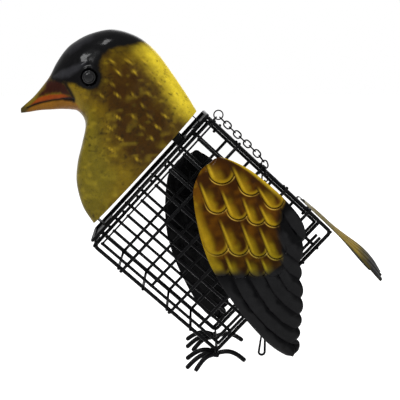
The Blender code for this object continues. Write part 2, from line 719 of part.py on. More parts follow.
def make_foot(name, depth, toes, back_toe, finish):
    """Three front toes and a back toe, welded to a short bar below the belly corner."""
    share = max(depth - FOOT_BAR_LENGTH / 2, 0) / CAGE_DEPTH
    belly = NEAR_RIM_BELLY + (FAR_RIM_BELLY - NEAR_RIM_BELLY) * share
    corner = to_world(RIM_TAIL, 0, belly)
    drop = WIRE_RADIUS + FOOT_BAR_RADIUS + GAP
    hub = Vector((corner.x, depth, corner.z - drop))
    rods = bmesh.new()
    ends = [(index - 1, toe) for index, toe in enumerate(toes)]
    ends.append((0, back_toe))
    for place, toe in ends:
        side = 1 if toe[0] > 0 else -1
        start = Vector((side * TOE_RADIUS, -place * TOE_SPREAD, 0))
        end = Vector(toe)
        route = []
        for k in range(TOE_STEPS + 1):
            share = k / TOE_STEPS
            point = start.lerp(end, share)
            point.z += TOE_ARCH * math.sin(math.pi * share)
            route.append(point)
        add_wire(rods, route, TOE_RADIUS)
    bar = bmesh.new()
    reach = Vector((0, FOOT_BAR_LENGTH / 2, 0))
    add_wire(bar, [-reach, reach], FOOT_BAR_RADIUS, 2 * LINK_SIDES)
    foot = piece(name, bar, finish, None, hub)
    boolean(foot, piece(name + "_rods", rods, finish, None, hub), "UNION")


def link_mesh(name, reach, finish):
    """One oblong link, its long way along X and its opening seen along Y."""
    step = math.pi / 4
    bow = Vector((LINK_BOW, 0, 0))
    rise = Vector((0, 0, LINK_BOW))
    center = reach - LINK_BOW * math.cos(step / 2)
    route = arc(Vector((center, 0, 0)), bow, rise, -1.5 * step, 1.5 * step, 3)
    route += arc(Vector((-center, 0, 0)), bow, rise, math.pi - 1.5 * step, math.pi + 1.5 * step, 3)
    bm = bmesh.new()
    add_wire(bm, route, LINK_WIRE, LINK_SIDES, closed=True)
    bmesh.ops.recalc_face_normals(bm, faces=bm.faces)
    mesh = bpy.data.meshes.new(name)
    bm.to_mesh(mesh)
    bm.free()
    mesh.shade_smooth()
    mesh.materials.append(finish)
    return mesh


def walk(route, pitch, count):
    """Places at a steady pitch along a route of points."""
    places = [route[0]]
    leg = 0
    here = route[0]
    left = pitch
    while len(places) < count:
        ahead = route[leg + 1] - here
        if ahead.length > left:
            here = here + ahead.normalized() * left
            places.append(here)
            left = pitch
        else:
            left -= ahead.length
            here = route[leg + 1]
            leg += 1
    return places


def place_link(name, mesh, center, along, edge_on, joint):
    """Hangs one link on its joint's frame, face on or edge on to the cage's side."""
    forward = along.normalized()
    normal = Vector((0, 1, 0))
    normal = (normal - forward * normal.dot(forward)).normalized()
    if edge_on:
        normal = forward.cross(normal)
    across = forward.cross(normal)
    made = bpy.data.objects.new(name, mesh)
    bpy.context.scene.collection.objects.link(made)
    made.parent = joint
    made.matrix_parent_inverse = joint.matrix_world.inverted()
    turn = Matrix((forward, normal, across)).transposed().to_4x4()
    made.matrix_basis = Matrix.Translation(center) @ turn
    return made


def make_chain(finish):
    """The rim link, ring, lying run, hanging run and end hook, on four joints."""
    past_corner = RIM_NECK + RIM_CORNER - RIM_LINK_PLACE
    dip = RIM_CORNER - math.sqrt(RIM_CORNER ** 2 - past_corner ** 2)
    low = RIM_BACK + dip + RIM_RADIUS + LINK_WIRE + 2 * GAP
    pin_v = low - 2 * RIM_LINK_REACH
    ring_v = pin_v + LINK_WIRE + RING_WIRE + GAP - RING_RADIUS
    pin = to_world(RIM_LINK_PLACE, 0, pin_v)
    ring = to_world(RIM_LINK_PLACE, 0, ring_v)

    lead_joint = empty("chain_lead_axis", pin)
    bpy.context.view_layer.update()
    rim_mesh = link_mesh("rim_link", RIM_LINK_REACH, finish)
    upright = to_world(0, 0, -1)
    center = to_world(RIM_LINK_PLACE, 0, pin_v + RIM_LINK_REACH)
    place_link("rim_link", rim_mesh, center, upright, True, empty("rim_link_axis", (0, 0, 0)))

    bm = bmesh.new()
    loop = arc(ring, Vector((RING_RADIUS, 0, 0)), Vector((0, 0, RING_RADIUS)), 0, math.tau, RING_STEPS)
    add_wire(bm, loop[:-1], RING_WIRE, closed=True)
    made = piece("hang_ring", bm, finish, lead_joint)
    made.matrix_parent_inverse = lead_joint.matrix_world.inverted()

    reach = RING_RADIUS + LINK_REACH - RING_WIRE - LINK_WIRE - 2 * LINK_SLACK
    first_u = RIM_LINK_PLACE + reach * math.cos(RING_LEAD_TURN)
    first_v = ring_v + reach * math.sin(RING_LEAD_TURN)
    route = [to_world(first_u, 0, first_v)]
    for u in (LEAD_FIRST_POINT, LEAD_SECOND_POINT):
        share = (u - first_u) / (LEAD_TURN_POINT - first_u)
        route.append(to_world(u, -DROP_DEPTH * share, -LEAD_HEIGHT))
    route.append(to_world(LEAD_TURN_POINT, -DROP_DEPTH, -LEAD_TURN_HEIGHT))
    route.append(Vector((DROP_PLACE, -DROP_DEPTH, -DROP_TOP)))
    longest = 2 * LINK_REACH * (LEAD_LINKS + DROP_LINKS)
    route.append(Vector((DROP_PLACE, -DROP_DEPTH, -DROP_TOP - longest)))
    pitch = 2 * (LINK_REACH - LINK_WIRE) - LINK_SLACK
    places = walk(route, pitch, LEAD_LINKS + DROP_LINKS + 1)
    mesh = link_mesh("chain_link", LINK_REACH, finish)

    drop_top = (places[LEAD_LINKS - 1] + places[LEAD_LINKS]) / 2
    drop_joint = empty("chain_drop_axis", drop_top)
    bpy.context.view_layer.update()
    for k in range(LEAD_LINKS + DROP_LINKS):
        before = places[max(k - 1, 0)]
        along = places[k + 1] - before
        lead = k < LEAD_LINKS
        number = k + 1 if lead else k + 1 - LEAD_LINKS
        name = f"{'lead' if lead else 'drop'}_link_{number:02d}"
        place_link(name, mesh, places[k], along, k % 2 == 0, lead_joint if lead else drop_joint)

    last = places[LEAD_LINKS + DROP_LINKS - 1]
    eye = last - Vector((0, 0, LINK_REACH - LINK_WIRE - HOOK_WIRE + HOOK_EYE - LINK_SLACK))
    pin = last - Vector((0, 0, LINK_REACH))
    make_hook(eye, pin, (LEAD_LINKS + DROP_LINKS) % 2 == 0, finish)


def make_hook(eye, pin, edge_on, finish):
    """The end hook: one wire with a closed eye above and an open bend below."""
    joint = empty("hook_axis", pin)
    bpy.context.view_layer.update()
    side = Vector((0, 1, 0)) if edge_on else Vector((1, 0, 0))
    up = Vector((0, 0, 1))
    route = arc(eye, side * HOOK_EYE, up * HOOK_EYE, HOOK_EYE_START, HOOK_EYE_END, 2 * BEND_STEPS)
    bend = eye - up * (HOOK_LENGTH - HOOK_WIDTH)
    route += arc(bend, side * HOOK_WIDTH, up * HOOK_WIDTH, math.pi, math.tau, BEND_STEPS)
    route.append(bend + side * HOOK_WIDTH + up * (HOOK_LENGTH - HOOK_WIDTH - HOOK_EYE - HOOK_OPENING))
    bm = bmesh.new()
    add_wire(bm, route, HOOK_WIRE)
    made = piece("hang_hook", bm, finish, joint)
    made.matrix_parent_inverse = joint.matrix_world.inverted()


def main():
    """Clears the scene and builds the feeder."""
    for old in list(bpy.data.objects):
        bpy.data.objects.remove(old)

    black = material("black_paint", (0.012, 0.012, 0.012), 0.4, 0.3)
    gold = material("gold_paint", (0.5, 0.36, 0.03), 0.38, 0.35)
    wing_gold = material("wing_paint", (0.42, 0.24, 0.02), 0.35, 0.35)
    bead = material("eye_gloss", (0.01, 0.01, 0.012), 0.08, 0)

    cage = empty("cage_frame", (0, 0, 0), rotation=(0, SLOPE, 0))
    hinge = empty("door_axis", cage_point(0, CAGE_DEPTH, RIM_BACK), cage)
    bpy.context.view_layer.update()

    make_basket(cage, black)
    make_near_panel(cage, black)
    make_door(hinge, black)
    make_neck_pan(cage, black)
    make_head_half(cage, "near_head_shell", -1, gold, "near_eye", bead)
    make_head_half(cage, "far_head_shell", 1, gold, "far_eye", bead)
    make_tabs(cage, black)
    make_wing("near_wing", -1, cage, NEAR_WING_TOP, NEAR_WING_LEAN, wing_gold)
    near_wires = WIRE_STEP + WIRE_RADIUS - LOOP_RADIUS
    make_staple("near_wing_staple", -1, cage, NEAR_WING_TOP, NEAR_WING_LEAN, near_wires, black)
    make_wing("far_wing", 1, hinge, FAR_WING_TOP, FAR_WING_LEAN, wing_gold)
    far_wires = CAGE_DEPTH + LOOP_RADIUS - WIRE_RADIUS
    make_staple("far_wing_staple", 1, hinge, FAR_WING_TOP, FAR_WING_LEAN, far_wires, black)
    make_tail(cage, gold, black)
    make_foot("near_foot", NEAR_FOOT_DEPTH, NEAR_TOES, NEAR_BACK_TOE, black)
    make_foot("far_foot", FAR_FOOT_DEPTH, FAR_TOES, FAR_BACK_TOE, black)
    make_chain(black)


main()
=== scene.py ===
"""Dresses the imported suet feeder: a painted sheet-metal goldfinch round a welded wire cage.

Lengths are in metres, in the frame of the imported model: +X runs from the beak to the tail, +Y from
the near wing to the far wing, and +Z is up. The cage has a slanted frame of its own: u runs down its
back, v from the back to the belly, and depth from the near side to the far side.
"""

import logging
import math
from dataclasses import dataclass
from enum import Enum

import bmesh
import bpy
import numpy as np
from mathutils import Matrix, Vector


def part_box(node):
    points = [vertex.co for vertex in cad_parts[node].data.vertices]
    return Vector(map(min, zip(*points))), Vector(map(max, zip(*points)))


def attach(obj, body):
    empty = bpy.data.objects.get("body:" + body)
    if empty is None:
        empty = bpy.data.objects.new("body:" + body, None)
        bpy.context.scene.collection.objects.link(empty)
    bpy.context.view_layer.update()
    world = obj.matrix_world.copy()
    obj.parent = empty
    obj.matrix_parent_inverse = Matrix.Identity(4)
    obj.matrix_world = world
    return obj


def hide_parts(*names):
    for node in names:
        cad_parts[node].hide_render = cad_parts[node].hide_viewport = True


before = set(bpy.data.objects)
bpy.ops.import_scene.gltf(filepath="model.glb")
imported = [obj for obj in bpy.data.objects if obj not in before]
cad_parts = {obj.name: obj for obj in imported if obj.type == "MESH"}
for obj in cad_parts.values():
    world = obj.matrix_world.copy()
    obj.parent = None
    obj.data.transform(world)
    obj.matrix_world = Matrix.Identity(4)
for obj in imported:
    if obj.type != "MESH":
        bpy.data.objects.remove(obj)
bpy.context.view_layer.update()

MM = 0.001
PAINT = "paint"
SHADER = "Principled BSDF"
WHITE = (1, 1, 1, 1)
DARK_LIMIT = 0.04045
DARK_SLOPE = 12.92
LIGHT_SHIFT = 0.055
LIGHT_POWER = 2.4
log = logging.getLogger("suet_feeder")

Pair = tuple[float, float]
Place = tuple[float, float, float]
Tone = tuple[float, float, float]
Shares = tuple[tuple[float, ...], ...]
Settings = dict[str | int, object]


class Side(Enum):
    """The two sides of the feeder, as signs along Y."""

    NEAR = -1
    FAR = 1

    @property
    def word(self) -> str:
        """The side, as the pieces' names have it."""
        return self.name.lower()


class Body(Enum):
    """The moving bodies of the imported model."""

    FEEDER = "feeder"
    DOOR = "door"
    LEAD = "chain_lead"
    DROP = "chain_drop"
    HOOK = "hook"


class Slot(Enum):
    """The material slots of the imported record."""

    BLACK = "black_paint"
    GOLD = "gold_paint"
    WING = "wing_paint"
    EYE = "eye_gloss"


def tone(color: Tone) -> np.ndarray:
    """Makes a colour linear.

    Args:
        color: Its red, green and blue as they look, from 0 to 255.

    Returns:
        The three linear values, from 0 to 1.
    """
    value = np.array(color) / 255
    light = ((value + LIGHT_SHIFT) / (1 + LIGHT_SHIFT)) ** LIGHT_POWER
    return np.where(value <= DARK_LIMIT, value / DARK_SLOPE, light)


def ease(low: float, high: float, value: np.ndarray) -> np.ndarray:
    """Rises smoothly from 0 at low to 1 at high, or falls where high is below low."""
    share = np.clip((value - low) / (high - low), 0, 1)
    return share * share * (3 - 2 * share)


def hump(distance: np.ndarray, width: float) -> np.ndarray:
    """A smooth hump that is 1 at no distance and fades out past the width."""
    return np.exp(-((distance / width) ** 2))


def blend_in(under: np.ndarray, over: np.ndarray, share: np.ndarray) -> np.ndarray:
    """Lays one colour over another, as much of it as the share says."""
    return under + (over - under) * share[..., None]


def plain(color: Tone, shape: tuple[int, ...]) -> np.ndarray:
    """One colour in every place of a shape."""
    return np.broadcast_to(tone(color), shape)


def brush(under: np.ndarray, color: Tone, share: np.ndarray) -> np.ndarray:
    """Brushes a plain colour over others, as much of it as the share says."""
    return blend_in(under, tone(color), share)


def smooth_curve(keys: np.ndarray, values: np.ndarray, places: np.ndarray) -> np.ndarray:
    """Reads a smooth curve through a few points.

    Args:
        keys: Where the points lie, in rising order.
        values: A row of values at each of them.
        places: Where to read the curve.

    Returns:
        A row of values at each place.
    """
    slopes = np.gradient(values, keys, axis=0)
    slopes[[0, -1]] *= 0.5
    index = np.clip(np.searchsorted(keys, places, side="right") - 1, 0, len(keys) - 2)
    width = keys[index + 1] - keys[index]
    part = ((places - keys[index]) / width)[..., None]
    width = width[..., None]
    square = part ** 2
    cube = part ** 3
    start = values[index] * (2 * cube - 3 * square + 1) + slopes[index] * width * (cube - 2 * square + part)
    end = values[index + 1] * (3 * square - 2 * cube) + slopes[index + 1] * width * (cube - square)
    return start + end


def line_distance(points: np.ndarray, line: Shares) -> np.ndarray:
    """Measures how far points lie from an open line.

    Args:
        points: Points on a plane.
        line: The line's corners.

    Returns:
        The distance of each point.
    """
    nearest = np.full(points.shape[:-1], np.inf)
    for start, end in zip(np.array(line), np.array(line)[1:]):
        step = end - start
        share = np.clip((points - start) @ step / (step @ step), 0, 1)
        gap = points - start - share[..., None] * step
        nearest = np.minimum(nearest, np.hypot(gap[..., 0], gap[..., 1]))
    return nearest


def region_depth(points: np.ndarray, outline: Shares) -> np.ndarray:
    """Measures how far points lie inside a closed outline.

    Args:
        points: Points on a plane.
        outline: The outline's corners.

    Returns:
        The depth of each point, below zero outside.
    """
    inside = np.zeros(points.shape[:-1], bool)
    for (ax, ay), (bx, by) in zip(outline, outline[1:] + outline[:1]):
        if ay == by:
            continue
        crossing = ax + (points[..., 1] - ay) * (bx - ax) / (by - ay)
        inside ^= ((ay > points[..., 1]) != (by > points[..., 1])) & (points[..., 0] < crossing)
    distance = line_distance(points, outline + outline[:1])
    return np.where(inside, distance, -distance)


def scattered(key: np.ndarray, reach: float = 43758.5453) -> np.ndarray:
    """A number from 0 to 1 that jumps about from key to key, the same on every run."""
    return np.abs(np.sin(key) * reach) % 1


def blotches(points: np.ndarray, size: float, seed: int) -> np.ndarray:
    """Reads a soft irregular pattern in space, the same on every run.

    Args:
        points: Points in space.
        size: The size of one blotch.
        seed: Which pattern of that size.

    Returns:
        A value from 0 to 1 at each point.
    """
    seed_shift = 17.31
    cells = points / size + seed * seed_shift
    base = np.floor(cells)
    part = cells - base
    part = part * part * (3 - 2 * part)
    total = np.zeros(points.shape[:-1])
    for corner in np.ndindex(2, 2, 2):
        key = (base + corner) @ np.array([127.1, 311.7, 74.7])
        total += scattered(key) * np.prod(np.where(corner, part, 1 - part), axis=-1)
    return total


def clouds(points: np.ndarray, coarse: float, fine: float, seed: int, share: float = 0.6) -> np.ndarray:
    """Reads coarse blotches that finer ones, of the next seed, break up."""
    return share * blotches(points, coarse, seed) + (1 - share) * blotches(points, fine, seed + 1)


def unit(vectors: np.ndarray) -> np.ndarray:
    """The vectors at a length of one."""
    return vectors / np.linalg.norm(vectors, axis=-1, keepdims=True)


def arc(
    center: np.ndarray, first: np.ndarray, second: np.ndarray, start: float, end: float, steps: int,
) -> np.ndarray:
    """Points on an arc that turns from a first axis to a second, both as long as its radius."""
    turns = np.linspace(start, end, steps + 1)[:, None]
    return np.asarray(center) + np.asarray(first) * np.cos(turns) + np.asarray(second) * np.sin(turns)


def round_rectangle(low: Pair, high: Pair, corner: float, steps: int = 6) -> np.ndarray:
    """Sets out a rectangle with round corners.

    Args:
        low: Its corner with the lowest numbers.
        high: Its corner with the highest.
        corner: The radius of its round corners.
        steps: How many steps each of them has.

    Returns:
        The points on its plane, one row each.
    """
    left = low[0] + corner
    bottom = low[1] + corner
    right = high[0] - corner
    top = high[1] - corner
    points = []
    for k, center in enumerate(((left, bottom), (right, bottom), (right, top), (left, top))):
        start = math.pi * (1 + k / 2)
        points.append(arc(center, (corner, 0), (0, corner), start, start + math.pi / 2, steps))
    return np.concatenate(points)


class Shell:
    """Points, faces and paint gathered for one piece."""

    ROUND_END = ((0, 0.5), (0.25, 0.85), (0.9, 1))
    GUIDE = (0.13, 0.31, 0.94)
    SHARP_ANGLE = math.radians(50)
    POLE_TILT = 0.18

    def __init__(self) -> None:
        """Starts an empty piece."""
        self.points: list[np.ndarray] = []
        self.paint: list[np.ndarray] = []
        self.faces: list[tuple[int, ...]] = []
        self.count = 0

    def add_points(self, grid: np.ndarray, paint: np.ndarray | None = None) -> np.ndarray:
        """Adds a grid of points.

        Args:
            grid: The points, in rows.
            paint: Their colours, if the piece is painted.

        Returns:
            The points' numbers, in the same rows.
        """
        flat = grid.reshape(-1, 3)
        self.points.append(flat)
        self.paint.append(np.zeros_like(flat) if paint is None else paint.reshape(-1, 3))
        numbers = np.arange(self.count, self.count + len(flat)).reshape(grid.shape[:-1])
        self.count += len(flat)
        return numbers

    def add_skin(self, numbers: np.ndarray, wrapped: bool = False) -> None:
        """Joins neighbouring rows with faces.

        Args:
            numbers: Rows of point numbers.
            wrapped: Whether each row ends where it starts.
        """
        if wrapped:
            numbers = np.concatenate([numbers, numbers[:, :1]], axis=1)
        corners = [numbers[:-1, :-1], numbers[:-1, 1:], numbers[1:, 1:], numbers[1:, :-1]]
        self.faces.extend(map(tuple, np.stack(corners, axis=-1).reshape(-1, 4).tolist()))

    def add_caps(self, numbers: np.ndarray) -> None:
        """Closes the first and the last of wrapped rows."""
        self.faces.append(tuple(numbers[0].tolist()))
        self.faces.append(tuple(numbers[-1].tolist()))

    def add_sheet(
        self, front: np.ndarray, back: np.ndarray, front_paint: np.ndarray, back_paint: np.ndarray,
    ) -> None:
        """Adds a sheet of metal from its two faces.

        Args:
            front: The grid of the painted face.
            back: The matching grid of the other face.
            front_paint: Colours of the painted face.
            back_paint: Colours of the other face.
        """
        borders = []
        for grid, paint in ((front, front_paint), (back, back_paint)):
            numbers = self.add_points(grid, paint)
            self.add_skin(numbers)
            sides = [numbers[0, :-1], numbers[:-1, -1], numbers[-1, :0:-1], numbers[:0:-1, 0]]
            borders.append(np.concatenate(sides))
        self.add_skin(np.stack(borders), wrapped=True)

    def add_wire(self, route: np.ndarray, radius: float, sides: int = 10, closed: bool = False) -> None:
        """Adds a round wire along a route.

        Args:
            route: The points of its middle line.
            radius: Its radius.
            sides: How many sides make it round.
            closed: Whether it runs back into itself.
        """
        route = np.asarray(route, float)
        sizes = np.full(len(route), radius)
        if closed:
            ahead = unit(np.roll(route, -1, axis=0) - route)
            behind = unit(route - np.roll(route, 1, axis=0))
        else:
            onward = unit(route[1] - route[0]) * radius
            backward = unit(route[-2] - route[-1]) * radius
            starts = [route[0] + onward * along for along, _ in self.ROUND_END]
            ends = [route[-1] + backward * along for along, _ in self.ROUND_END]
            route = np.concatenate([starts, route[1:-1], ends[::-1]])
            shrink = [radius * across for _, across in self.ROUND_END]
            sizes = np.concatenate([shrink, sizes[1:-1], shrink[::-1]])
            steps = unit(np.diff(route, axis=0))
            ahead = np.concatenate([steps, steps[-1:]])
            behind = np.concatenate([steps[:1], steps])
        along = unit(ahead + behind)
        across = np.cross(along[0], self.GUIDE)
        turns = np.linspace(0, math.tau, sides, endpoint=False)[:, None]
        rings = []
        for point, direction, size in zip(route, along, sizes):
            across = unit(across - direction * (across @ direction))
            up = np.cross(direction, across)
            rings.append(point + (across * np.cos(turns) + up * np.sin(turns)) * size)
        numbers = self.add_points(np.array(rings))
        if closed:
            gaps = [np.linalg.norm(rings[-1][0] - corner) for corner in rings[0]]
            joined = np.roll(numbers[:1], -int(np.argmin(gaps)), axis=1)
            numbers = np.concatenate([numbers, joined])
        else:
            self.add_caps(numbers)
        self.add_skin(numbers, wrapped=True)

    def add_bead(self, center: np.ndarray, size: np.ndarray, rings: int = 5, sides: int = 8) -> None:
        """Adds a small rounded drop of metal.

        Args:
            center: Its middle.
            size: Its half sizes along X, Y and Z.
            rings: How many rings it has.
            sides: How many sides each ring has.
        """
        tilts = np.linspace(self.POLE_TILT, math.pi - self.POLE_TILT, rings)[:, None]
        turns = np.linspace(0, math.tau, sides, endpoint=False)[None, :]
        out = np.sin(tilts)
        flat = np.stack([out * np.cos(turns), out * np.sin(turns), np.cos(tilts) + 0 * turns], -1)
        numbers = self.add_points(np.asarray(center) + flat * np.asarray(size))
        self.add_skin(numbers, wrapped=True)
        self.add_caps(numbers)

    def finish(self, name: str, surface: bpy.types.Material, body: Body, slot: Slot, *nodes: str) -> None:
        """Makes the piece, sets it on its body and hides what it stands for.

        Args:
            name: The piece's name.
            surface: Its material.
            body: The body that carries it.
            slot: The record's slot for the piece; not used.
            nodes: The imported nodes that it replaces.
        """
        mesh = bpy.data.meshes.new(name)
        mesh.from_pydata(np.concatenate(self.points).tolist(), [], self.faces)
        work = bmesh.new()
        work.from_mesh(mesh)
        bmesh.ops.recalc_face_normals(work, faces=work.faces[:])
        work.to_mesh(mesh)
        work.free()
        colors = np.ones((self.count, 4), np.float32)
        colors[:, :3] = np.concatenate(self.paint)
        mesh.attributes.new(PAINT, "FLOAT_COLOR", "POINT").data.foreach_set("color", colors.ravel())
        mesh.shade_smooth()
        mesh.set_sharp_from_angle(angle=self.SHARP_ANGLE)
        mesh.materials.append(surface)
        piece = bpy.data.objects.new(name, mesh)
        bpy.context.scene.collection.objects.link(piece)
        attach(piece, body.value)
        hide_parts(*nodes)
        log.info("%s: %d points, %d faces", name, len(mesh.vertices), len(mesh.polygons))


class NodeKit:
    """Adds and joins the nodes of a material or of the world."""

    NOISE_MIDDLE = {"From Min": 0.3, "From Max": 0.7}

    def __init__(self, tree: bpy.types.NodeTree) -> None:
        """Starts on the nodes that are there."""
        self.tree = tree

    def fill(self, node: bpy.types.Node, settings: Settings) -> bpy.types.Node:
        """Sets a node's inputs.

        Args:
            node: The node.
            settings: For each input, by name or number, its value or the output that feeds it.

        Returns:
            The node.
        """
        for name, value in settings.items():
            if isinstance(value, bpy.types.NodeSocket):
                self.tree.links.new(value, node.inputs[name])
            else:
                node.inputs[name].default_value = value
        return node

    def add(self, kind: str, settings: Settings, operation: str = "") -> bpy.types.Node:
        """Adds a node.

        Args:
            kind: Its type, without the ShaderNode in front.
            settings: Its inputs, as fill takes them.
            operation: What it works out, for a node that has a choice.

        Returns:
            The node.
        """
        node = self.tree.nodes.new("ShaderNode" + kind)
        if operation:
            node.operation = operation
        return self.fill(node, settings)

    def noise(self, scale: float, detail: float = 3, roughness: float = 0.5) -> bpy.types.NodeSocket:
        """A noise fixed to the piece.

        Args:
            scale: How many grains fit in a metre.
            detail: How many finer layers it has.
            roughness: How strong they are.

        Returns:
            The noise's value.
        """
        place = self.add("TexCoord", {}).outputs["Object"]
        settings = {"Scale": scale, "Detail": detail, "Roughness": roughness, "Vector": place}
        return self.add("TexNoise", settings).outputs["Fac"]

    def spread(self, value: bpy.types.NodeSocket, ends: Pair) -> bpy.types.NodeSocket:
        """Stretches the middle of a noise, from 0.3 to 0.7, to the two ends given."""
        settings = {**self.NOISE_MIDDLE, "To Min": ends[0], "To Max": ends[1], "Value": value}
        return self.add("MapRange", settings).outputs["Result"]

    def tinted(self, color: bpy.types.NodeSocket, value: bpy.types.NodeSocket) -> bpy.types.NodeSocket:
        """A colour multiplied by a value."""
        return self.add("VectorMath", {0: color, "Scale": value}, "SCALE").outputs["Vector"]

    def bump(self, value: bpy.types.NodeSocket, strength: float, height: float) -> bpy.types.NodeSocket:
        """Turns a pattern into bumps of a height, and gives the tilt that the surface gets."""
        settings = {"Strength": strength, "Distance": height, "Height": value}
        return self.add("Bump", settings).outputs["Normal"]


def new_material(name: str) -> tuple[bpy.types.Material, NodeKit]:
    """Starts a material.

    Args:
        name: Its name.
    """
    material = bpy.data.materials.new(name)
    material.use_nodes = True
    return material, NodeKit(material.node_tree)


@dataclass(frozen=True)
class Finish:
    """What the coats of paint share: range of roughness, gloss, clear coat and how fine the marks are."""

    name: str
    rough: Pair
    specular: float
    coat: float
    marks: float

    def texture(self, kit: NodeKit) -> Settings:
        """What the coat's own nodes feed to the shader, by input."""
        raise NotImplementedError

    def make(self) -> bpy.types.Material:
        """Makes the material.

        Returns:
            The material, with its nodes joined.
        """
        material, kit = new_material(self.name)
        gloss = {"Specular IOR Level": self.specular, "Coat Weight": self.coat}
        kit.fill(kit.tree.nodes[SHADER], {**self.texture(kit), **gloss})
        return material


@dataclass(frozen=True)
class Enamel(Finish):
    """A dipped or brushed black coat with a faint orange peel."""

    color: Tone = (5, 5, 6)

    def texture(self, kit: NodeKit) -> Settings:
        """Cloudy black with a peel.

        Args:
            kit: The material's nodes.

        Returns:
            What they feed to the shader, by input.
        """
        base = kit.add("RGB", {}).outputs[0]
        base.default_value = (*tone(self.color), 1)
        cloudy = kit.spread(kit.noise(scale=160, detail=4), (0.6, 1.5))
        return {
            "Base Color": kit.tinted(base, cloudy),
            "Roughness": kit.spread(kit.noise(scale=420), self.rough),
            "Normal": kit.bump(kit.noise(self.marks, detail=2), strength=0.25, height=0.1 * MM),
            "Coat Roughness": 0.15,
        }


@dataclass(frozen=True)
class BrushedPaint(Finish):
    """Colours brushed by hand over bright metal, under a clear coat."""

    metallic: float = 0.05

    def texture(self, kit: NodeKit) -> Settings:
        """The piece's own paint, with brush streaks and fine grain.

        Args:
            kit: The material's nodes.

        Returns:
            What they feed to the shader, by input.
        """
        paint = kit.add("Attribute", {})
        paint.attribute_name = PAINT
        streaks = kit.spread(kit.noise(self.marks, detail=5, roughness=0.6), (0.84, 1.14))
        grains = kit.spread(kit.noise(scale=1700, roughness=0.6), (0.86, 1.1))
        strokes = kit.noise(scale=900, detail=4, roughness=0.6)
        return {
            "Base Color": kit.tinted(kit.tinted(paint.outputs["Color"], streaks), grains),
            "Roughness": kit.spread(kit.noise(scale=300, detail=4), self.rough),
            "Normal": kit.bump(strokes, strength=0.3, height=0.12 * MM),
            "Metallic": self.metallic,
            "Coat Roughness": 0.12,
        }


class Finishes:
    """The feeder's finishes, each made once."""

    def __init__(self) -> None:
        """Makes every finish."""
        self.wire = Enamel("dipped_black", (0.26, 0.42), 0.06, 0.0, marks=1300).make()
        self.sheet = Enamel("sheet_black", (0.3, 0.46), 0.06, 0.0, marks=700).make()
        self.eye = Enamel("eye_black", (0.12, 0.16), 0.15, 0.16, marks=300, color=(2, 2, 3)).make()
        self.head = BrushedPaint("head_colours", (0.2, 0.34), 0.02, 0.09, marks=190).make()
        self.wing = BrushedPaint("wing_colours", (0.28, 0.42), 0.02, 0.04, marks=160).make()
        self.tail = BrushedPaint("tail_colours", (0.3, 0.46), 0.06, 0.02, marks=200, metallic=0.06).make()


@dataclass(frozen=True)
class CageFrame:
    """The slanted frame that the cage, head and tail are set out in."""

    slope: float = math.radians(42.9)
    depth: float = 37 * MM
    back_pitch: float = 25.4 * MM
    side_pitch: float = 15.93 * MM
    back_cells: int = 5
    side_cells: int = 8
    rim_radius: float = 0.8 * MM
    wire_radius: float = 0.75 * MM
    weld: float = 0.3 * MM
    gap: float = 0.3 * MM
    sheet: float = 0.8 * MM
    rim_back: float = -0.5 * MM
    rim_neck: float = -0.3 * MM
    tail_margin: float = 2.3 * MM
    belly_margin: float = 3.3 * MM
    shown_rim: float = 1.5 * MM
    shown_wire: float = 1.25 * MM

    def point(self, u: float | np.ndarray, depth: float | np.ndarray, v: float | np.ndarray) -> np.ndarray:
        """Turns a place in the slanted frame into world coordinates.

        Args:
            u: How far down the back.
            depth: How far from the near side.
            v: How far below the back.

        Returns:
            The place, or one for each value given.
        """
        u, depth, v = np.broadcast_arrays(u, depth, v)
        cos = math.cos(self.slope)
        sin = math.sin(self.slope)
        return np.stack([u * cos - v * sin, depth, -u * sin - v * cos], axis=-1)

    def axis(self, u: float, depth: float, v: float) -> np.ndarray:
        """A direction of the slanted frame in world coordinates."""
        return self.point(float(u), float(depth), float(v))

    @property
    def wire_step(self) -> float:
        """How far apart two welded grid wires lie."""
        return 2 * self.wire_radius - self.weld

    @property
    def rim_step(self) -> float:
        """How far a wire welded to the rim lies from the rim's middle."""
        return self.rim_radius + self.wire_radius - self.weld

    @property
    def loop_radius(self) -> float:
        """The radius of a wire loop that turns on the rim."""
        return self.rim_radius + self.gap + self.wire_radius

    @property
    def wall_clear(self) -> float:
        """How far a sheet stays from the middle of the rim."""
        return self.rim_step + self.wire_radius + self.gap

    @property
    def length(self) -> float:
        """The cage's inner length along the back."""
        return self.back_cells * self.back_pitch

    @property
    def height(self) -> float:
        """The cage's inner height from the back to the belly."""
        return self.side_cells * self.side_pitch

    @property
    def rim_tail(self) -> float:
        """Where the rims run at the tail end."""
        return self.length + self.tail_margin

    @property
    def bellies(self) -> Pair:
        """Where the near and the far rim run under the belly."""
        return self.height + self.belly_margin, self.height


@dataclass
class SubAssembly:
    """What every part of the feeder needs: the frame that it is set out in, and the finishes."""

    cage: CageFrame
    finishes: Finishes


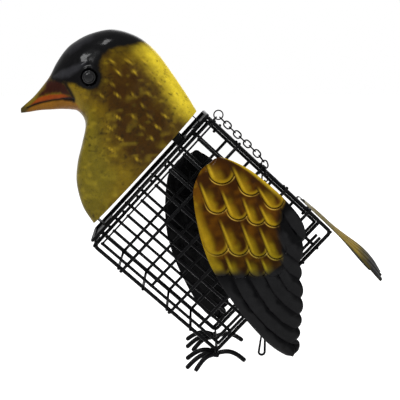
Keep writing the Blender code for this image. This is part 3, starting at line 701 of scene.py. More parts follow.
@dataclass
class WireCage(SubAssembly):
    """The welded basket, the near grid that is crimped on and the far grid that opens."""

    rim_corner: float = 3 * MM
    curl_turn: float = math.radians(100)
    panel_shift: float = 2.9 * MM
    panel_tail_margin: float = 3.7 * MM
    double_spacing: float = 3.6 * MM
    panel_lift: float = 2.3 * MM
    wire_end: float = 0.9 * MM
    loop_turn: float = math.radians(205)
    hook_turn: float = math.radians(140)
    loop_tail: float = 5.5 * MM
    door_top_wire: float = 2.7 * MM
    crimped_wires: tuple[int, ...] = (1, 3)
    door_loops: int = 3
    curl_steps: int = 6
    loop_steps: int = 14
    hook_steps: int = 10
    nugget: float = 1.4 * MM
    nugget_flatness: float = 0.55
    rim_nugget_share: float = 0.75
    rim_nugget_reach: float = 0.55
    rim_nugget_inset: float = 0.2 * MM

    def add_cross_wire(self, shell: Shell, u: float, vs: Pair, out: Pair) -> None:
        """Adds a wire from the far rim to the near rim, whose near end curls round the rim.

        Args:
            shell: The piece it goes into.
            u: Where it crosses, along the back.
            vs: How far below the back it meets the near and the far rim.
            out: The way out of the cage there, along u and along v.
        """
        cage = self.cage
        near = cage.point(u, 0, vs[0])
        far = cage.point(u, cage.depth, vs[1])
        away = unit(cage.point(out[0], 0, out[1])) * cage.rim_step
        route = arc(near, away, (0, -cage.rim_step, 0), self.curl_turn, 0, self.curl_steps)
        route = np.concatenate([route, [far + away, far + away + (0, cage.rim_radius, 0)]])
        shell.add_wire(route, cage.shown_wire)
        size = (self.nugget * self.rim_nugget_share,) * 3
        for end, inward in ((near, self.rim_nugget_inset), (far, -self.rim_nugget_inset)):
            shell.add_bead(end + away * self.rim_nugget_reach + (0, inward, 0), size)

    def build_basket(self) -> None:
        """Builds the two rims and the four walls of cross wires."""
        cage = self.cage
        shell = Shell()
        low = (cage.rim_neck, cage.rim_back)
        for depth, belly in zip((0, cage.depth), cage.bellies):
            loop = round_rectangle(low, (cage.rim_tail, belly), self.rim_corner)
            shell.add_wire(cage.point(loop[:, 0], depth, loop[:, 1]), cage.shown_rim, sides=12, closed=True)
        for k in range(1, cage.back_cells):
            u = k * cage.back_pitch
            self.add_cross_wire(shell, u, (cage.rim_back, cage.rim_back), (0, -1))
            self.add_cross_wire(shell, u, cage.bellies, (0, 1))
        inset = self.rim_corner * (1 - math.sqrt(0.5))
        top = cage.rim_back + inset
        for u, side in ((cage.rim_neck, -1), (cage.rim_tail, 1)):
            for k in range(1, cage.side_cells):
                v = k * cage.side_pitch
                self.add_cross_wire(shell, u, (v, v), (side, 0))
            corner = u - side * inset
            self.add_cross_wire(shell, corner, (top, top), (side, -1))
            near_belly, far_belly = cage.bellies
            self.add_cross_wire(shell, corner, (near_belly - inset, far_belly - inset), (side, 1))
        shell.finish("wire_basket", self.finishes.wire, Body.FEEDER, Slot.BLACK, "basket")

    def loop_route(self, u: float, depth: float, side: Side, end: float, hooked: bool = False) -> np.ndarray:
        """Sets out a wire down a side grid, looped round the back rim.

        Args:
            u: Where it runs along the back.
            depth: The depth of the rim that it turns on.
            side: The side of the cage that it lies on.
            end: Where it ends below.
            hooked: Whether it hooks under the belly rim.

        Returns:
            The wire's route.
        """
        cage = self.cage
        out = np.array([0, side.value * cage.loop_radius, 0])
        up = cage.point(0, 0, -1) * cage.loop_radius
        route = arc(cage.point(u, depth, cage.rim_back), out, up, self.loop_turn, 0, self.loop_steps)
        if hooked:
            foot = arc(cage.point(u, depth, cage.bellies[0]), out, -up, 0, self.hook_turn, self.hook_steps)
            return np.concatenate([route, foot])
        return np.concatenate([route, [cage.point(u, depth + side.value * cage.loop_radius, end)]])

    def add_straight(self, shell: Shell, start: Place, end: Place) -> None:
        """Adds a straight wire between two places of the slanted frame."""
        shell.add_wire([self.cage.point(*start), self.cage.point(*end)], self.cage.shown_wire)

    def add_nuggets(self, shell: Shell, us: list[float], vs: list[float], depth: float) -> None:
        """Adds the weld nuggets of one grid.

        Args:
            shell: The piece they go into.
            us: Where its wires run down.
            vs: Where its wires run along.
            depth: The depth of the welds.
        """
        size = (self.nugget, self.nugget_flatness * self.nugget, self.nugget)
        for u in us:
            for v in vs:
                shell.add_bead(self.cage.point(u, depth, v), size)

    def build_near_grid(self) -> None:
        """Builds the near grid, whose first wire stays thin because the chain's ring turns past it."""
        cage = self.cage
        shell = Shell()
        bottom = cage.height - self.panel_lift
        tail = cage.rim_tail - self.panel_tail_margin
        end = bottom + self.wire_end
        outer = -cage.loop_radius
        inner = outer + cage.wire_step
        downs = [self.panel_shift + k * cage.back_pitch for k in range(cage.back_cells)]
        for k, u in enumerate(downs):
            route = self.loop_route(u, 0, Side.NEAR, end, k in self.crimped_wires)
            shell.add_wire(route, cage.shown_wire if k else cage.wire_radius)
        pair = [tail - self.double_spacing, tail]
        for u in pair:
            self.add_straight(shell, (u, outer, cage.side_pitch / 2), (u, outer, end))
        alongs = [k * cage.side_pitch for k in range(1, cage.side_cells)] + [bottom]
        first = self.panel_shift - self.wire_end
        last = tail + self.wire_end
        for v in alongs:
            self.add_straight(shell, (first, inner, v), (last, inner, v))
        self.add_nuggets(shell, downs + pair, alongs, (outer + inner) / 2)
        shell.finish("near_wire_grid", self.finishes.wire, Body.FEEDER, Slot.BLACK, "near_panel")

    def build_door(self) -> None:
        """Builds the far grid, which turns on its loops."""
        cage = self.cage
        shell = Shell()
        inner = cage.depth + cage.loop_radius
        outer = inner + cage.wire_step
        top = self.door_top_wire - self.wire_end
        downs = [k * cage.back_pitch for k in range(cage.back_cells + 1)]
        for u in downs:
            self.add_straight(shell, (u, inner, top), (u, inner, cage.height + self.wire_end))
        for k in range(self.door_loops):
            u = cage.back_pitch * (0.5 + 2 * k)
            shell.add_wire(self.loop_route(u, cage.depth, Side.FAR, self.loop_tail), cage.shown_wire)
        alongs = [self.door_top_wire] + [k * cage.side_pitch for k in range(1, cage.side_cells + 1)]
        for v in alongs:
            self.add_straight(shell, (-self.wire_end, outer, v), (cage.length + self.wire_end, outer, v))
        self.add_nuggets(shell, downs, alongs, (inner + outer) / 2)
        shell.finish("door_wire_grid", self.finishes.wire, Body.DOOR, Slot.BLACK, "door_panel")


@dataclass
class NeckFrame(SubAssembly):
    """The stamped frame that closes the cage's neck end, with a bar across for the head's tabs."""

    depths: Pair = (-2 * MM, 39 * MM)
    ends: Pair = (-1.5 * MM, 128.5 * MM)
    side_width: float = 5.2 * MM
    end_widths: Pair = (15.6 * MM, 18.6 * MM)
    bar: Pair = (21.5 * MM, 32.5 * MM)
    corner: float = 2.5 * MM
    roll: float = 1.3 * MM
    roll_gap: float = 0.9 * MM

    @property
    def face(self) -> float:
        """Where the frame's inner face lies."""
        return self.cage.rim_neck - self.cage.wall_clear

    def add_ring(self, shell: Shell, ends: Pair, hole_ends: Pair) -> None:
        """Adds the frame round one opening.

        Args:
            shell: The piece it goes into.
            ends: Where it starts and ends below the back.
            hole_ends: Where its opening starts and ends.
        """
        back = self.face - self.cage.sheet
        near, far = self.depths
        outer = round_rectangle((near, ends[0]), (far, ends[1]), self.corner)
        near += self.side_width
        far -= self.side_width
        hole = round_rectangle((near, hole_ends[0]), (far, hole_ends[1]), self.corner)
        rows = [(outer, self.face), (hole, self.face), (hole, back), (outer, back)]
        numbers = shell.add_points(np.array([self.cage.point(u, loop[:, 0], loop[:, 1]) for loop, u in rows]))
        shell.add_skin(np.concatenate([numbers, numbers[:1]]), wrapped=True)

    def build(self) -> None:
        """Builds the frame with its rolled edge."""
        shell = Shell()
        first, last = self.ends
        middle = sum(self.bar) / 2
        self.add_ring(shell, (first, middle), (first + self.end_widths[0], self.bar[0]))
        self.add_ring(shell, (middle, last), (self.bar[1], last - self.end_widths[1]))
        edge = round_rectangle((self.depths[0], first), (self.depths[1], last), self.corner)
        u = self.face - self.cage.sheet - self.roll_gap
        shell.add_wire(self.cage.point(u, edge[:, 0], edge[:, 1]), self.roll, closed=True)
        shell.finish("neck_frame", self.finishes.sheet, Body.FEEDER, Slot.BLACK, "neck_plate")


@dataclass(frozen=True)
class Patch:
    """One field of paint on the head, in shares of the neck's length forward and down."""

    outline: Shares
    color: Tone
    softness: float
    ragged: float = 0.0
    cover: float = 1.0

    def over(self, under: np.ndarray, places: np.ndarray, edge_noise: np.ndarray) -> np.ndarray:
        """Paints the field over other colours, with an edge broken up by a noise from 0 to 1."""
        depth = region_depth(places, self.outline) + (edge_noise - 0.5) * 2 * self.ragged
        return brush(under, self.color, ease(-self.softness, self.softness, depth) * self.cover)


@dataclass(frozen=True)
class Flecks:
    """Irregular flecks of one colour, which may come in groups."""

    color: Tone
    cover: float
    size: float
    edge: Pair
    seed: int
    group: float = 0.0
    group_edge: Pair = (0.0, 1.0)
    squat: float = 1.0

    def over(self, under: np.ndarray, points: np.ndarray) -> np.ndarray:
        """Paints the flecks.

        Args:
            under: The colours below.
            points: The skin's points.

        Returns:
            The colours with the flecks on them.
        """
        share = ease(*self.edge, blotches(points * (1, 1, self.squat), self.size, self.seed))
        if self.group:
            share = share * ease(*self.group_edge, blotches(points, self.group, self.seed + 1))
        return brush(under, self.color, share * self.cover)


@dataclass
class FinchHead(SubAssembly):
    """The two stamped halves of the head, with their paint and bead eyes."""

    back_inset: float = 1.6 * MM
    belly_inset: float = 5.84 * MM
    neck_rim: float = 11 * MM
    upper_shares: Shares = (
        (0, -0.5), (0.117, -0.533), (0.293, -0.574), (0.454, -0.601), (0.599, -0.586),
        (0.731, -0.516), (0.815, -0.402), (0.854, -0.297), (0.863, -0.221), (0.852, -0.123),
        (0.83, -0.032), (0.823, 0.043), (0.821, 0.130), (0.829, 0.206), (0.833, 0.242),
    )
    lower_shares: Shares = (
        (0, 0.5), (0.127, 0.461), (0.254, 0.374), (0.338, 0.27), (0.399, 0.156),
        (0.453, 0.058), (0.503, 0.019), (0.558, 0.014), (0.592, 0.034), (0.618, 0.055),
        (0.649, 0.083), (0.69, 0.125), (0.736, 0.173), (0.781, 0.230), (0.812, 0.266),
    )
    width_shares: tuple[float, ...] = (
        0.135, 0.152, 0.17, 0.187, 0.197, 0.2, 0.19, 0.17, 0.146, 0.117, 0.088, 0.063, 0.042, 0.026, 0.016,
    )
    fullness: float = 0.85
    least_wall_share: float = 0.4
    station_steps: int = 15
    round_steps: int = 110
    eye_station_share: float = 0.402
    eye_radius: float = 5.2 * MM
    eye_bulge: float = 3.2 * MM
    socket_radius: float = 5.9 * MM
    socket_depth: float = 3.7 * MM
    socket_rim: float = 0.6 * MM
    socket_rim_width: float = 0.9 * MM
    socket_rim_place: float = 0.8 * MM
    socket_clear: float = 1.5 * MM
    tick_across_pitch: float = 0.098
    tick_down_pitch: float = 0.135
    tick_length: float = 0.018
    tick_width: float = 0.0054
    tick_height: float = 0.6 * MM
    tick_turn: float = math.radians(-52)
    tick_turn_range: float = 0.5
    tick_slip: float = 0.12
    tick_slip_keys: Pair = (5.3, 9)
    tick_pick_keys: tuple[float, ...] = (12.7, 7.9, 31)
    tick_pick_reach: float = 4375.85
    tick_edge: Pair = (-0.01, 0.02)
    tick_light_shift: Pair = (0.0035, -0.0035)
    tick_shade_shift: Pair = (-0.0095, 0.0075)
    mouth_line: Shares = (
        (0.803, 0.212), (0.784, 0.167), (0.757, 0.122), (0.72, 0.07), (0.672, 0.011), (0.621, -0.035),
    )
    mouth_depth: float = 0.8 * MM
    mouth_width: float = 0.0065
    brow_height: float = 0.5 * MM
    brow_edge: Pair = (-0.01, 0.012)
    dents: Shares = ((0.35 * MM, 6 * MM, 3), (0.15 * MM, 2.5 * MM, 4))
    seam_edge: Pair = (0.004, 0.03)
    lid_place: float = 0.72
    lid_depth: float = 0.17
    lid_width: float = 0.07
    eye_ring_edge: Pair = (3.4 * MM, 1.2 * MM)
    eye_pole: float = 0.05
    eye_rings: int = 34
    eye_sides: int = 40

    TICK_FIELD: Shares = (
        (0.64, -0.40), (0.50, -0.55), (0.30, -0.56), (0.05, -0.48), (0.03, 0.05), (0.10, 0.16),
        (0.30, 0.08), (0.42, -0.06), (0.53, -0.13), (0.53, -0.27), (0.62, -0.32),
    )
    BROW: Shares = (
        (0.803, -0.054), (0.788, -0.121), (0.753, -0.191), (0.708, -0.269), (0.71, -0.198),
        (0.729, -0.126), (0.773, -0.065),
    )
    PATCHES: tuple[Patch, ...] = (
        # The breast and throat.
        Patch(((0.521, -0.057), (0.417, -0.051), (0.275, 0.073), (0.114, 0.141), (0.02, 0.362),
               (-0.05, 0.60), (0.245, 0.50), (0.40, 0.30), (0.50, 0.047)), (96, 84, 16), 0.07, 0.03),
        # The brown side of the neck.
        Patch(((0.632, -0.337), (0.58, -0.442), (0.456, -0.467), (0.27, -0.425), (0.064, -0.364),
               (-0.05, -0.22), (-0.04, -0.02), (0.115, 0.03), (0.28, -0.01), (0.432, -0.10),
               (0.527, -0.163), (0.57, -0.225)), (48, 26, 2), 0.09, 0.05, 0.93),
        # The bright nape.
        Patch(((0.56, -0.54), (0.525, -0.66), (0.375, -0.66), (0.158, -0.60), (-0.05, -0.56),
               (-0.05, -0.42), (0.103, -0.43), (0.274, -0.485), (0.42, -0.52)), (210, 186, 44), 0.06, 0.02),
        # The paler strip from the beak to the cheek.
        Patch(((0.754, -0.056), (0.71, -0.08), (0.637, -0.08), (0.561, -0.049), (0.53, 0.03),
               (0.609, -0.02), (0.668, -0.05)), (120, 100, 30), 0.022, 0.01, 0.8),
        # The ridge of the beak.
        Patch(((0.842, 0.28), (0.86, 0.14), (0.85, 0.0), (0.80, 0.01), (0.792, 0.118), (0.80, 0.20)),
              (96, 80, 18), 0.012, 0.006),
        # The lower half of the beak.
        Patch(((0.80, 0.215), (0.757, 0.122), (0.72, 0.07), (0.672, 0.011), (0.607, -0.03), (0.54, -0.01),
               (0.60, 0.08), (0.72, 0.24), (0.80, 0.30)), (122, 80, 18), 0.010, 0.004),
        # The dark upper half of the beak.
        Patch(((0.832, -0.004), (0.766, -0.07), (0.721, -0.08), (0.666, -0.062), (0.628, -0.043),
               (0.704, -0.007), (0.755, 0.049), (0.793, 0.118), (0.806, 0.10), (0.81, 0.03)),
              (40, 13, 5), 0.02, 0.012),
        # The orange band over the mouth line.
        Patch(((0.800, 0.18), (0.793, 0.118), (0.753, 0.051), (0.702, -0.005), (0.628, -0.043),
               (0.665, 0.002), (0.726, 0.075), (0.766, 0.132), (0.792, 0.178)), (122, 52, 10), 0.007, 0.003),
        # The corner of the mouth.
        Patch(((0.684, 0.016), (0.65, -0.036), (0.614, -0.045), (0.610, -0.029), (0.655, 0.010)),
              (36, 10, 6), 0.008),
        # The tip of the beak.
        Patch(((0.85, 0.215), (0.79, 0.215), (0.79, 0.30), (0.85, 0.30)), (52, 46, 20), 0.014, 0.003, 0.85),
        # The soft brown border of the cap.
        Patch(((0.90, -0.22), (0.76, -0.58), (0.603, -0.66), (0.490, -0.62), (0.530, -0.552),
               (0.580, -0.48), (0.625, -0.41), (0.635, -0.35), (0.60, -0.28), (0.54, -0.26),
               (0.52, -0.20), (0.56, -0.14), (0.66, -0.15)), (26, 14, 2), 0.06, 0.03, 0.85),
        # The black cap.
        Patch(((0.812, -0.014), (0.85, -0.078), (0.90, -0.22), (0.87, -0.40), (0.76, -0.58),
               (0.603, -0.66), (0.522, -0.62), (0.559, -0.552), (0.605, -0.493), (0.657, -0.412),
               (0.668, -0.36), (0.642, -0.302), (0.584, -0.264), (0.557, -0.205), (0.577, -0.144),
               (0.634, -0.125), (0.682, -0.112), (0.727, -0.077), (0.776, -0.045)), (4, 4, 5), 0.014, 0.01),
        # The stamped brow, with a painted highlight a little lighter than the cap.
        Patch(BROW, (38, 38, 41), 0.014, 0.006, 0.85),
        # A painted sheen on the forehead, a little lighter than the cap.
        Patch(((0.858, -0.186), (0.85, -0.307), (0.812, -0.415), (0.784, -0.392), (0.797, -0.314),
               (0.823, -0.232)), (30, 30, 33), 0.02, 0.012, 0.8),
    )
    SKIN_PATCHES: int = 3
    CLOUD: Flecks = Flecks((66, 46, 4), 0.75, 9 * MM, (0.45, 0.8), 11)
    MARKS: tuple[Flecks, ...] = (
        Flecks((34, 24, 4), 0.75, 2.2 * MM, (0.70, 0.9), 13, 12 * MM, (0.35, 0.75)),
        Flecks((30, 22, 4), 0.6, 1.1 * MM, (0.62, 0.85), 15, 8 * MM, (0.4, 0.7)),
    )
    WIPED: Flecks = Flecks((170, 146, 36), 0.22, 5 * MM, (0.6, 0.95), 17, squat=1.6)
    LORE: Shares = ((0.775, -0.06), (0.721, -0.078), (0.668, -0.062), (0.63, -0.046), (0.612, -0.028))
    BASE: Tone = (104, 84, 10)
    TICK_LIGHT: Tone = (184, 154, 40)
    TICK_SHADE: Tone = (26, 14, 2)
    MOTTLE: Tone = (134, 118, 28)
    LORE_INK: Tone = (7, 5, 4)
    EYE_RING: Tone = (4, 4, 5)
    MOUTH: Tone = (12, 5, 3)
    INSIDE: Tone = (14, 14, 15)

    @property
    def neck_length(self) -> float:
        """The neck's length along the cage's end."""
        return self.cage.height - self.back_inset - self.belly_inset

    @property
    def neck_middle(self) -> float:
        """The middle of the neck below the back."""
        return self.back_inset + self.neck_length / 2

    def skin(
        self, stations: np.ndarray, turns: np.ndarray, side: Side, inset: float,
    ) -> tuple[np.ndarray, np.ndarray]:
        """Sets out one half's skin before it is stamped.

        Args:
            stations: Places from the neck to the beak's tip.
            turns: Angles from the top seam to the bottom seam.
            side: Which half.
            inset: How far below the outer skin.

        Returns:
            The points in world coordinates, and their places forward and down in shares.
        """
        keys = np.arange(len(self.upper_shares), dtype=float)
        upper = smooth_curve(keys, np.array(self.upper_shares), stations) * self.neck_length
        lower = smooth_curve(keys, np.array(self.lower_shares), stations) * self.neck_length
        width = smooth_curve(keys, np.array(self.width_shares)[:, None], stations)[:, 0] * self.neck_length
        half = (upper - lower) / 2
        span = np.linalg.norm(half, axis=1)
        inset = np.minimum(inset, self.least_wall_share * np.minimum(width, span))
        swell = np.sin(turns)[None, :] ** self.fullness * (width - inset)[:, None]
        height = (span - inset)[:, None] * np.cos(turns)[None, :]
        flat = ((upper + lower) / 2)[:, None] + unit(half)[:, None] * height[..., None]
        depth = self.cage.depth / 2 + side.value * (self.cage.gap / 2 + swell)
        points = self.cage.point(-self.neck_rim - flat[..., 0], depth, self.neck_middle + flat[..., 1])
        return points, flat / self.neck_length

    def eye_spot(self, side: Side) -> tuple[np.ndarray, np.ndarray]:
        """Finds the eye's middle.

        Args:
            side: Which half it is in.

        Returns:
            Its point in world coordinates, and its place forward and down in shares.
        """
        station = np.array([self.eye_station_share * (len(self.upper_shares) - 1)])
        points, places = self.skin(station, np.array([math.pi / 2]), side, self.cage.sheet / 2)
        return points[0, 0], places[0, 0]

    def eye_distance(self, places: np.ndarray) -> np.ndarray:
        """How far places lie from the eye's middle, in metres."""
        return np.linalg.norm(places - self.eye_spot(Side.NEAR)[1], axis=-1) * self.neck_length

    def ticks(self, places: np.ndarray, offset: Pair = (0, 0)) -> np.ndarray:
        """Reads the staggered rows of stamped ticks.

        Args:
            places: Places forward and down in shares.
            offset: How far the pattern is moved, for its light and its shade.

        Returns:
            How high the ticks stand at each place, from 0 to 1.
        """
        level = math.sin(self.cage.slope)
        plumb = math.cos(self.cage.slope)
        moved = places - offset
        across = (moved[..., 0] * plumb + moved[..., 1] * level) / self.tick_across_pitch
        down = (moved[..., 1] * plumb - moved[..., 0] * level) / self.tick_down_pitch
        row_key, shift_key = self.tick_slip_keys
        keys = np.array(self.tick_pick_keys)
        total = np.zeros(places.shape[:-1])
        for shift in (0, 0.5):
            row = np.round(down - shift)
            slip = np.sin(row * row_key + shift * shift_key) * self.tick_slip
            column = np.round(across - shift - slip)
            pick = scattered(np.stack([row, column, row * 0 + shift], -1) @ keys, self.tick_pick_reach)
            local_across = (across - column - shift - slip) * self.tick_across_pitch
            local_down = (down - row - shift) * self.tick_down_pitch
            turn = self.tick_turn + (pick - 0.5) * self.tick_turn_range
            along = -local_across * np.cos(turn) - local_down * np.sin(turn)
            aside = -local_across * np.sin(turn) + local_down * np.cos(turn)
            shape = hump(along, self.tick_length * (0.75 + 0.5 * pick)) * hump(aside, self.tick_width)
            total = np.maximum(total, shape * np.clip(1.5 * pick - 0.35, 0, 1))
        return total * ease(*self.tick_edge, region_depth(places, self.TICK_FIELD))

    def relief(self, points: np.ndarray, places: np.ndarray) -> np.ndarray:
        """Reads how far the stamping stands out of the plain skin.

        Args:
            points: The skin's points.
            places: Their places forward and down in shares.

        Returns:
            The height at each point.
        """
        near_seam = region_depth(places, self.upper_shares + self.lower_shares[::-1])
        inner = ease(*self.seam_edge, near_seam)
        height = self.tick_height * self.ticks(places)
        height -= self.mouth_depth * hump(line_distance(places, self.mouth_line), self.mouth_width)
        height += self.brow_height * ease(*self.brow_edge, region_depth(places, self.BROW))
        for depth, size, seed in self.dents:
            height += depth * (blotches(points, size, seed) - 0.5)
        away = self.eye_distance(places)
        height *= ease(self.socket_radius, self.socket_radius + self.socket_clear, away)
        rim_gap = away - self.socket_radius - self.socket_rim_place
        height += self.socket_rim * hump(rim_gap, self.socket_rim_width)
        bowl = np.sqrt(np.clip(1 - (away / self.socket_radius) ** 2, 0, 1))
        return height * inner - self.socket_depth * bowl

    def paint(self, points: np.ndarray, places: np.ndarray) -> np.ndarray:
        """Paints the outer skin.

        Args:
            points: The skin's points.
            places: Their places forward and down in shares.

        Returns:
            The colour at each point.
        """
        edge_noise = clouds(points, coarse=4 * MM, fine=1.5 * MM, seed=7)
        color = self.CLOUD.over(plain(self.BASE, points.shape), points)
        for patch in self.PATCHES[:self.SKIN_PATCHES]:
            color = patch.over(color, places, edge_noise)
        for flecks in self.MARKS:
            color = flecks.over(color, points)
        mottle = ease(0.4, 0.85, clouds(points, coarse=5 * MM, fine=2.5 * MM, seed=18))
        breast = ease(0.06, 0.24, places[..., 1]) * ease(0.5, 0.35, places[..., 0])
        color = brush(color, self.MOTTLE, mottle * breast * 0.5)
        color = self.WIPED.over(color, points)
        # Painted shadow on each stamped tick's lower side toward the neck, and a painted highlight on its
        # upper side toward the beak.
        shaded = self.ticks(places, self.tick_shade_shift)
        color = brush(color, self.TICK_SHADE, np.clip(shaded * 0.5, 0, 1))
        lit = self.ticks(places, self.tick_light_shift)
        color = brush(color, self.TICK_LIGHT, np.clip(lit * 1.1, 0, 1) * 0.7)
        for patch in self.PATCHES[self.SKIN_PATCHES:]:
            color = patch.over(color, places, edge_noise)
        for ink, line, width in ((self.MOUTH, self.mouth_line, 0.0075), (self.LORE_INK, self.LORE, 0.011)):
            color = brush(color, ink, hump(line_distance(places, line), width) * 0.95)
        away = self.eye_distance(places) - self.socket_radius
        return brush(color, self.EYE_RING, ease(*self.eye_ring_edge, away))

    def build_half(self, side: Side) -> None:
        """Builds one stamped and painted half.

        Args:
            side: Which half.
        """
        last = len(self.upper_shares) - 1
        stations = np.linspace(0, last, last * self.station_steps + 1)
        turns = np.linspace(0, math.pi, self.round_steps + 1)
        outer, places = self.skin(stations, turns, side, 0)
        inner, _ = self.skin(stations, turns, side, self.cage.sheet)
        outward = (0, side.value * 1e-12, 0)
        normal = unit(np.cross(np.gradient(outer, axis=0), np.gradient(outer, axis=1)) + outward)
        normal *= np.where(normal[..., 1:2] * side.value < 0, -1, 1)
        stamped = normal * self.relief(outer, places)[..., None]
        shell = Shell()
        inside = plain(self.INSIDE, inner.shape)
        shell.add_sheet(outer + stamped, inner + stamped, self.paint(outer, places), inside)
        node = f"{side.word}_head_shell"
        shell.finish(f"{side.word}_head_half", self.finishes.head, Body.FEEDER, Slot.GOLD, node)

    def build_eye(self, side: Side) -> None:
        """Builds one bead eye: a dome inside a raised lid ring.

        Args:
            side: Which side it looks to.
        """
        center, _ = self.eye_spot(side)
        tilts = np.linspace(self.eye_pole, math.pi - self.eye_pole, self.eye_rings)
        turns = np.linspace(0, math.tau, self.eye_sides, endpoint=False)
        reach = np.sin(tilts)
        groove = self.lid_depth * hump(reach - self.lid_place, self.lid_width)
        rise = np.cos(tilts) - np.where(tilts < math.pi / 2, groove, 0)
        u = self.eye_radius * reach[:, None] * np.cos(turns)[None, :]
        v = self.eye_radius * reach[:, None] * np.sin(turns)[None, :]
        depth = side.value * self.eye_bulge * rise[:, None] + 0 * u
        shell = Shell()
        numbers = shell.add_points(center + self.cage.point(u, depth, v))
        shell.add_skin(numbers, wrapped=True)
        shell.add_caps(numbers)
        node = f"{side.word}_eye"
        shell.finish(f"{side.word}_bead_eye", self.finishes.eye, Body.FEEDER, Slot.EYE, node)


class FeatherKind(Enum):
    """How a feather of the wing is stamped and painted."""

    COVERT = "short, rounded and gold"
    FADING = "short, rounded and gold to black"
    LONG = "long and dark"


@dataclass(frozen=True)
class Feather:
    """One stamped feather, in shares of the wing's length across and along."""

    axis: Shares
    half_width: float
    kind: FeatherKind

    LONG_CAP = 1.5

    def measure(self, places: np.ndarray) -> tuple[np.ndarray, np.ndarray, np.ndarray]:
        """Finds where places lie on the feather.

        Args:
            places: Places across and along, in shares.

        Returns:
            How far out each lies, with 1 on the outline; how far down the feather, from 0 at the
            root to 1 at the tip; and how far aside, from -1 on the left to 1 on the right.
        """
        corners = np.array(self.axis)
        steps = np.diff(corners, axis=0)
        lengths = np.linalg.norm(steps, axis=1)
        starts = np.concatenate([[0], np.cumsum(lengths)])
        nearest = np.full(places.shape[:-1], np.inf)
        run = np.zeros_like(nearest)
        aside = np.zeros_like(nearest)
        for k, (corner, step, length) in enumerate(zip(corners, steps, lengths)):
            ahead = step / length
            gap = places - corner
            down = gap @ ahead
            over = gap[..., 0] * ahead[1] - gap[..., 1] * ahead[0]
            clipped = np.clip(down, 0, length)
            distance = np.hypot(down - clipped, over)
            low = -np.inf if k == 0 else 0
            high = np.inf if k == len(steps) - 1 else length
            closer = distance < nearest - 1e-9
            nearest = np.where(closer, distance, nearest)
            run = np.where(closer, starts[k] + np.clip(down, low, high), run)
            aside = np.where(closer, over, aside)
        total = starts[-1]
        cap = self.half_width * (self.LONG_CAP if self.kind is FeatherKind.LONG else 1)
        past = np.clip((run - (total - cap)) / cap, 0, None)
        out = np.hypot(past, aside / self.half_width)
        return out, run / total, aside / self.half_width


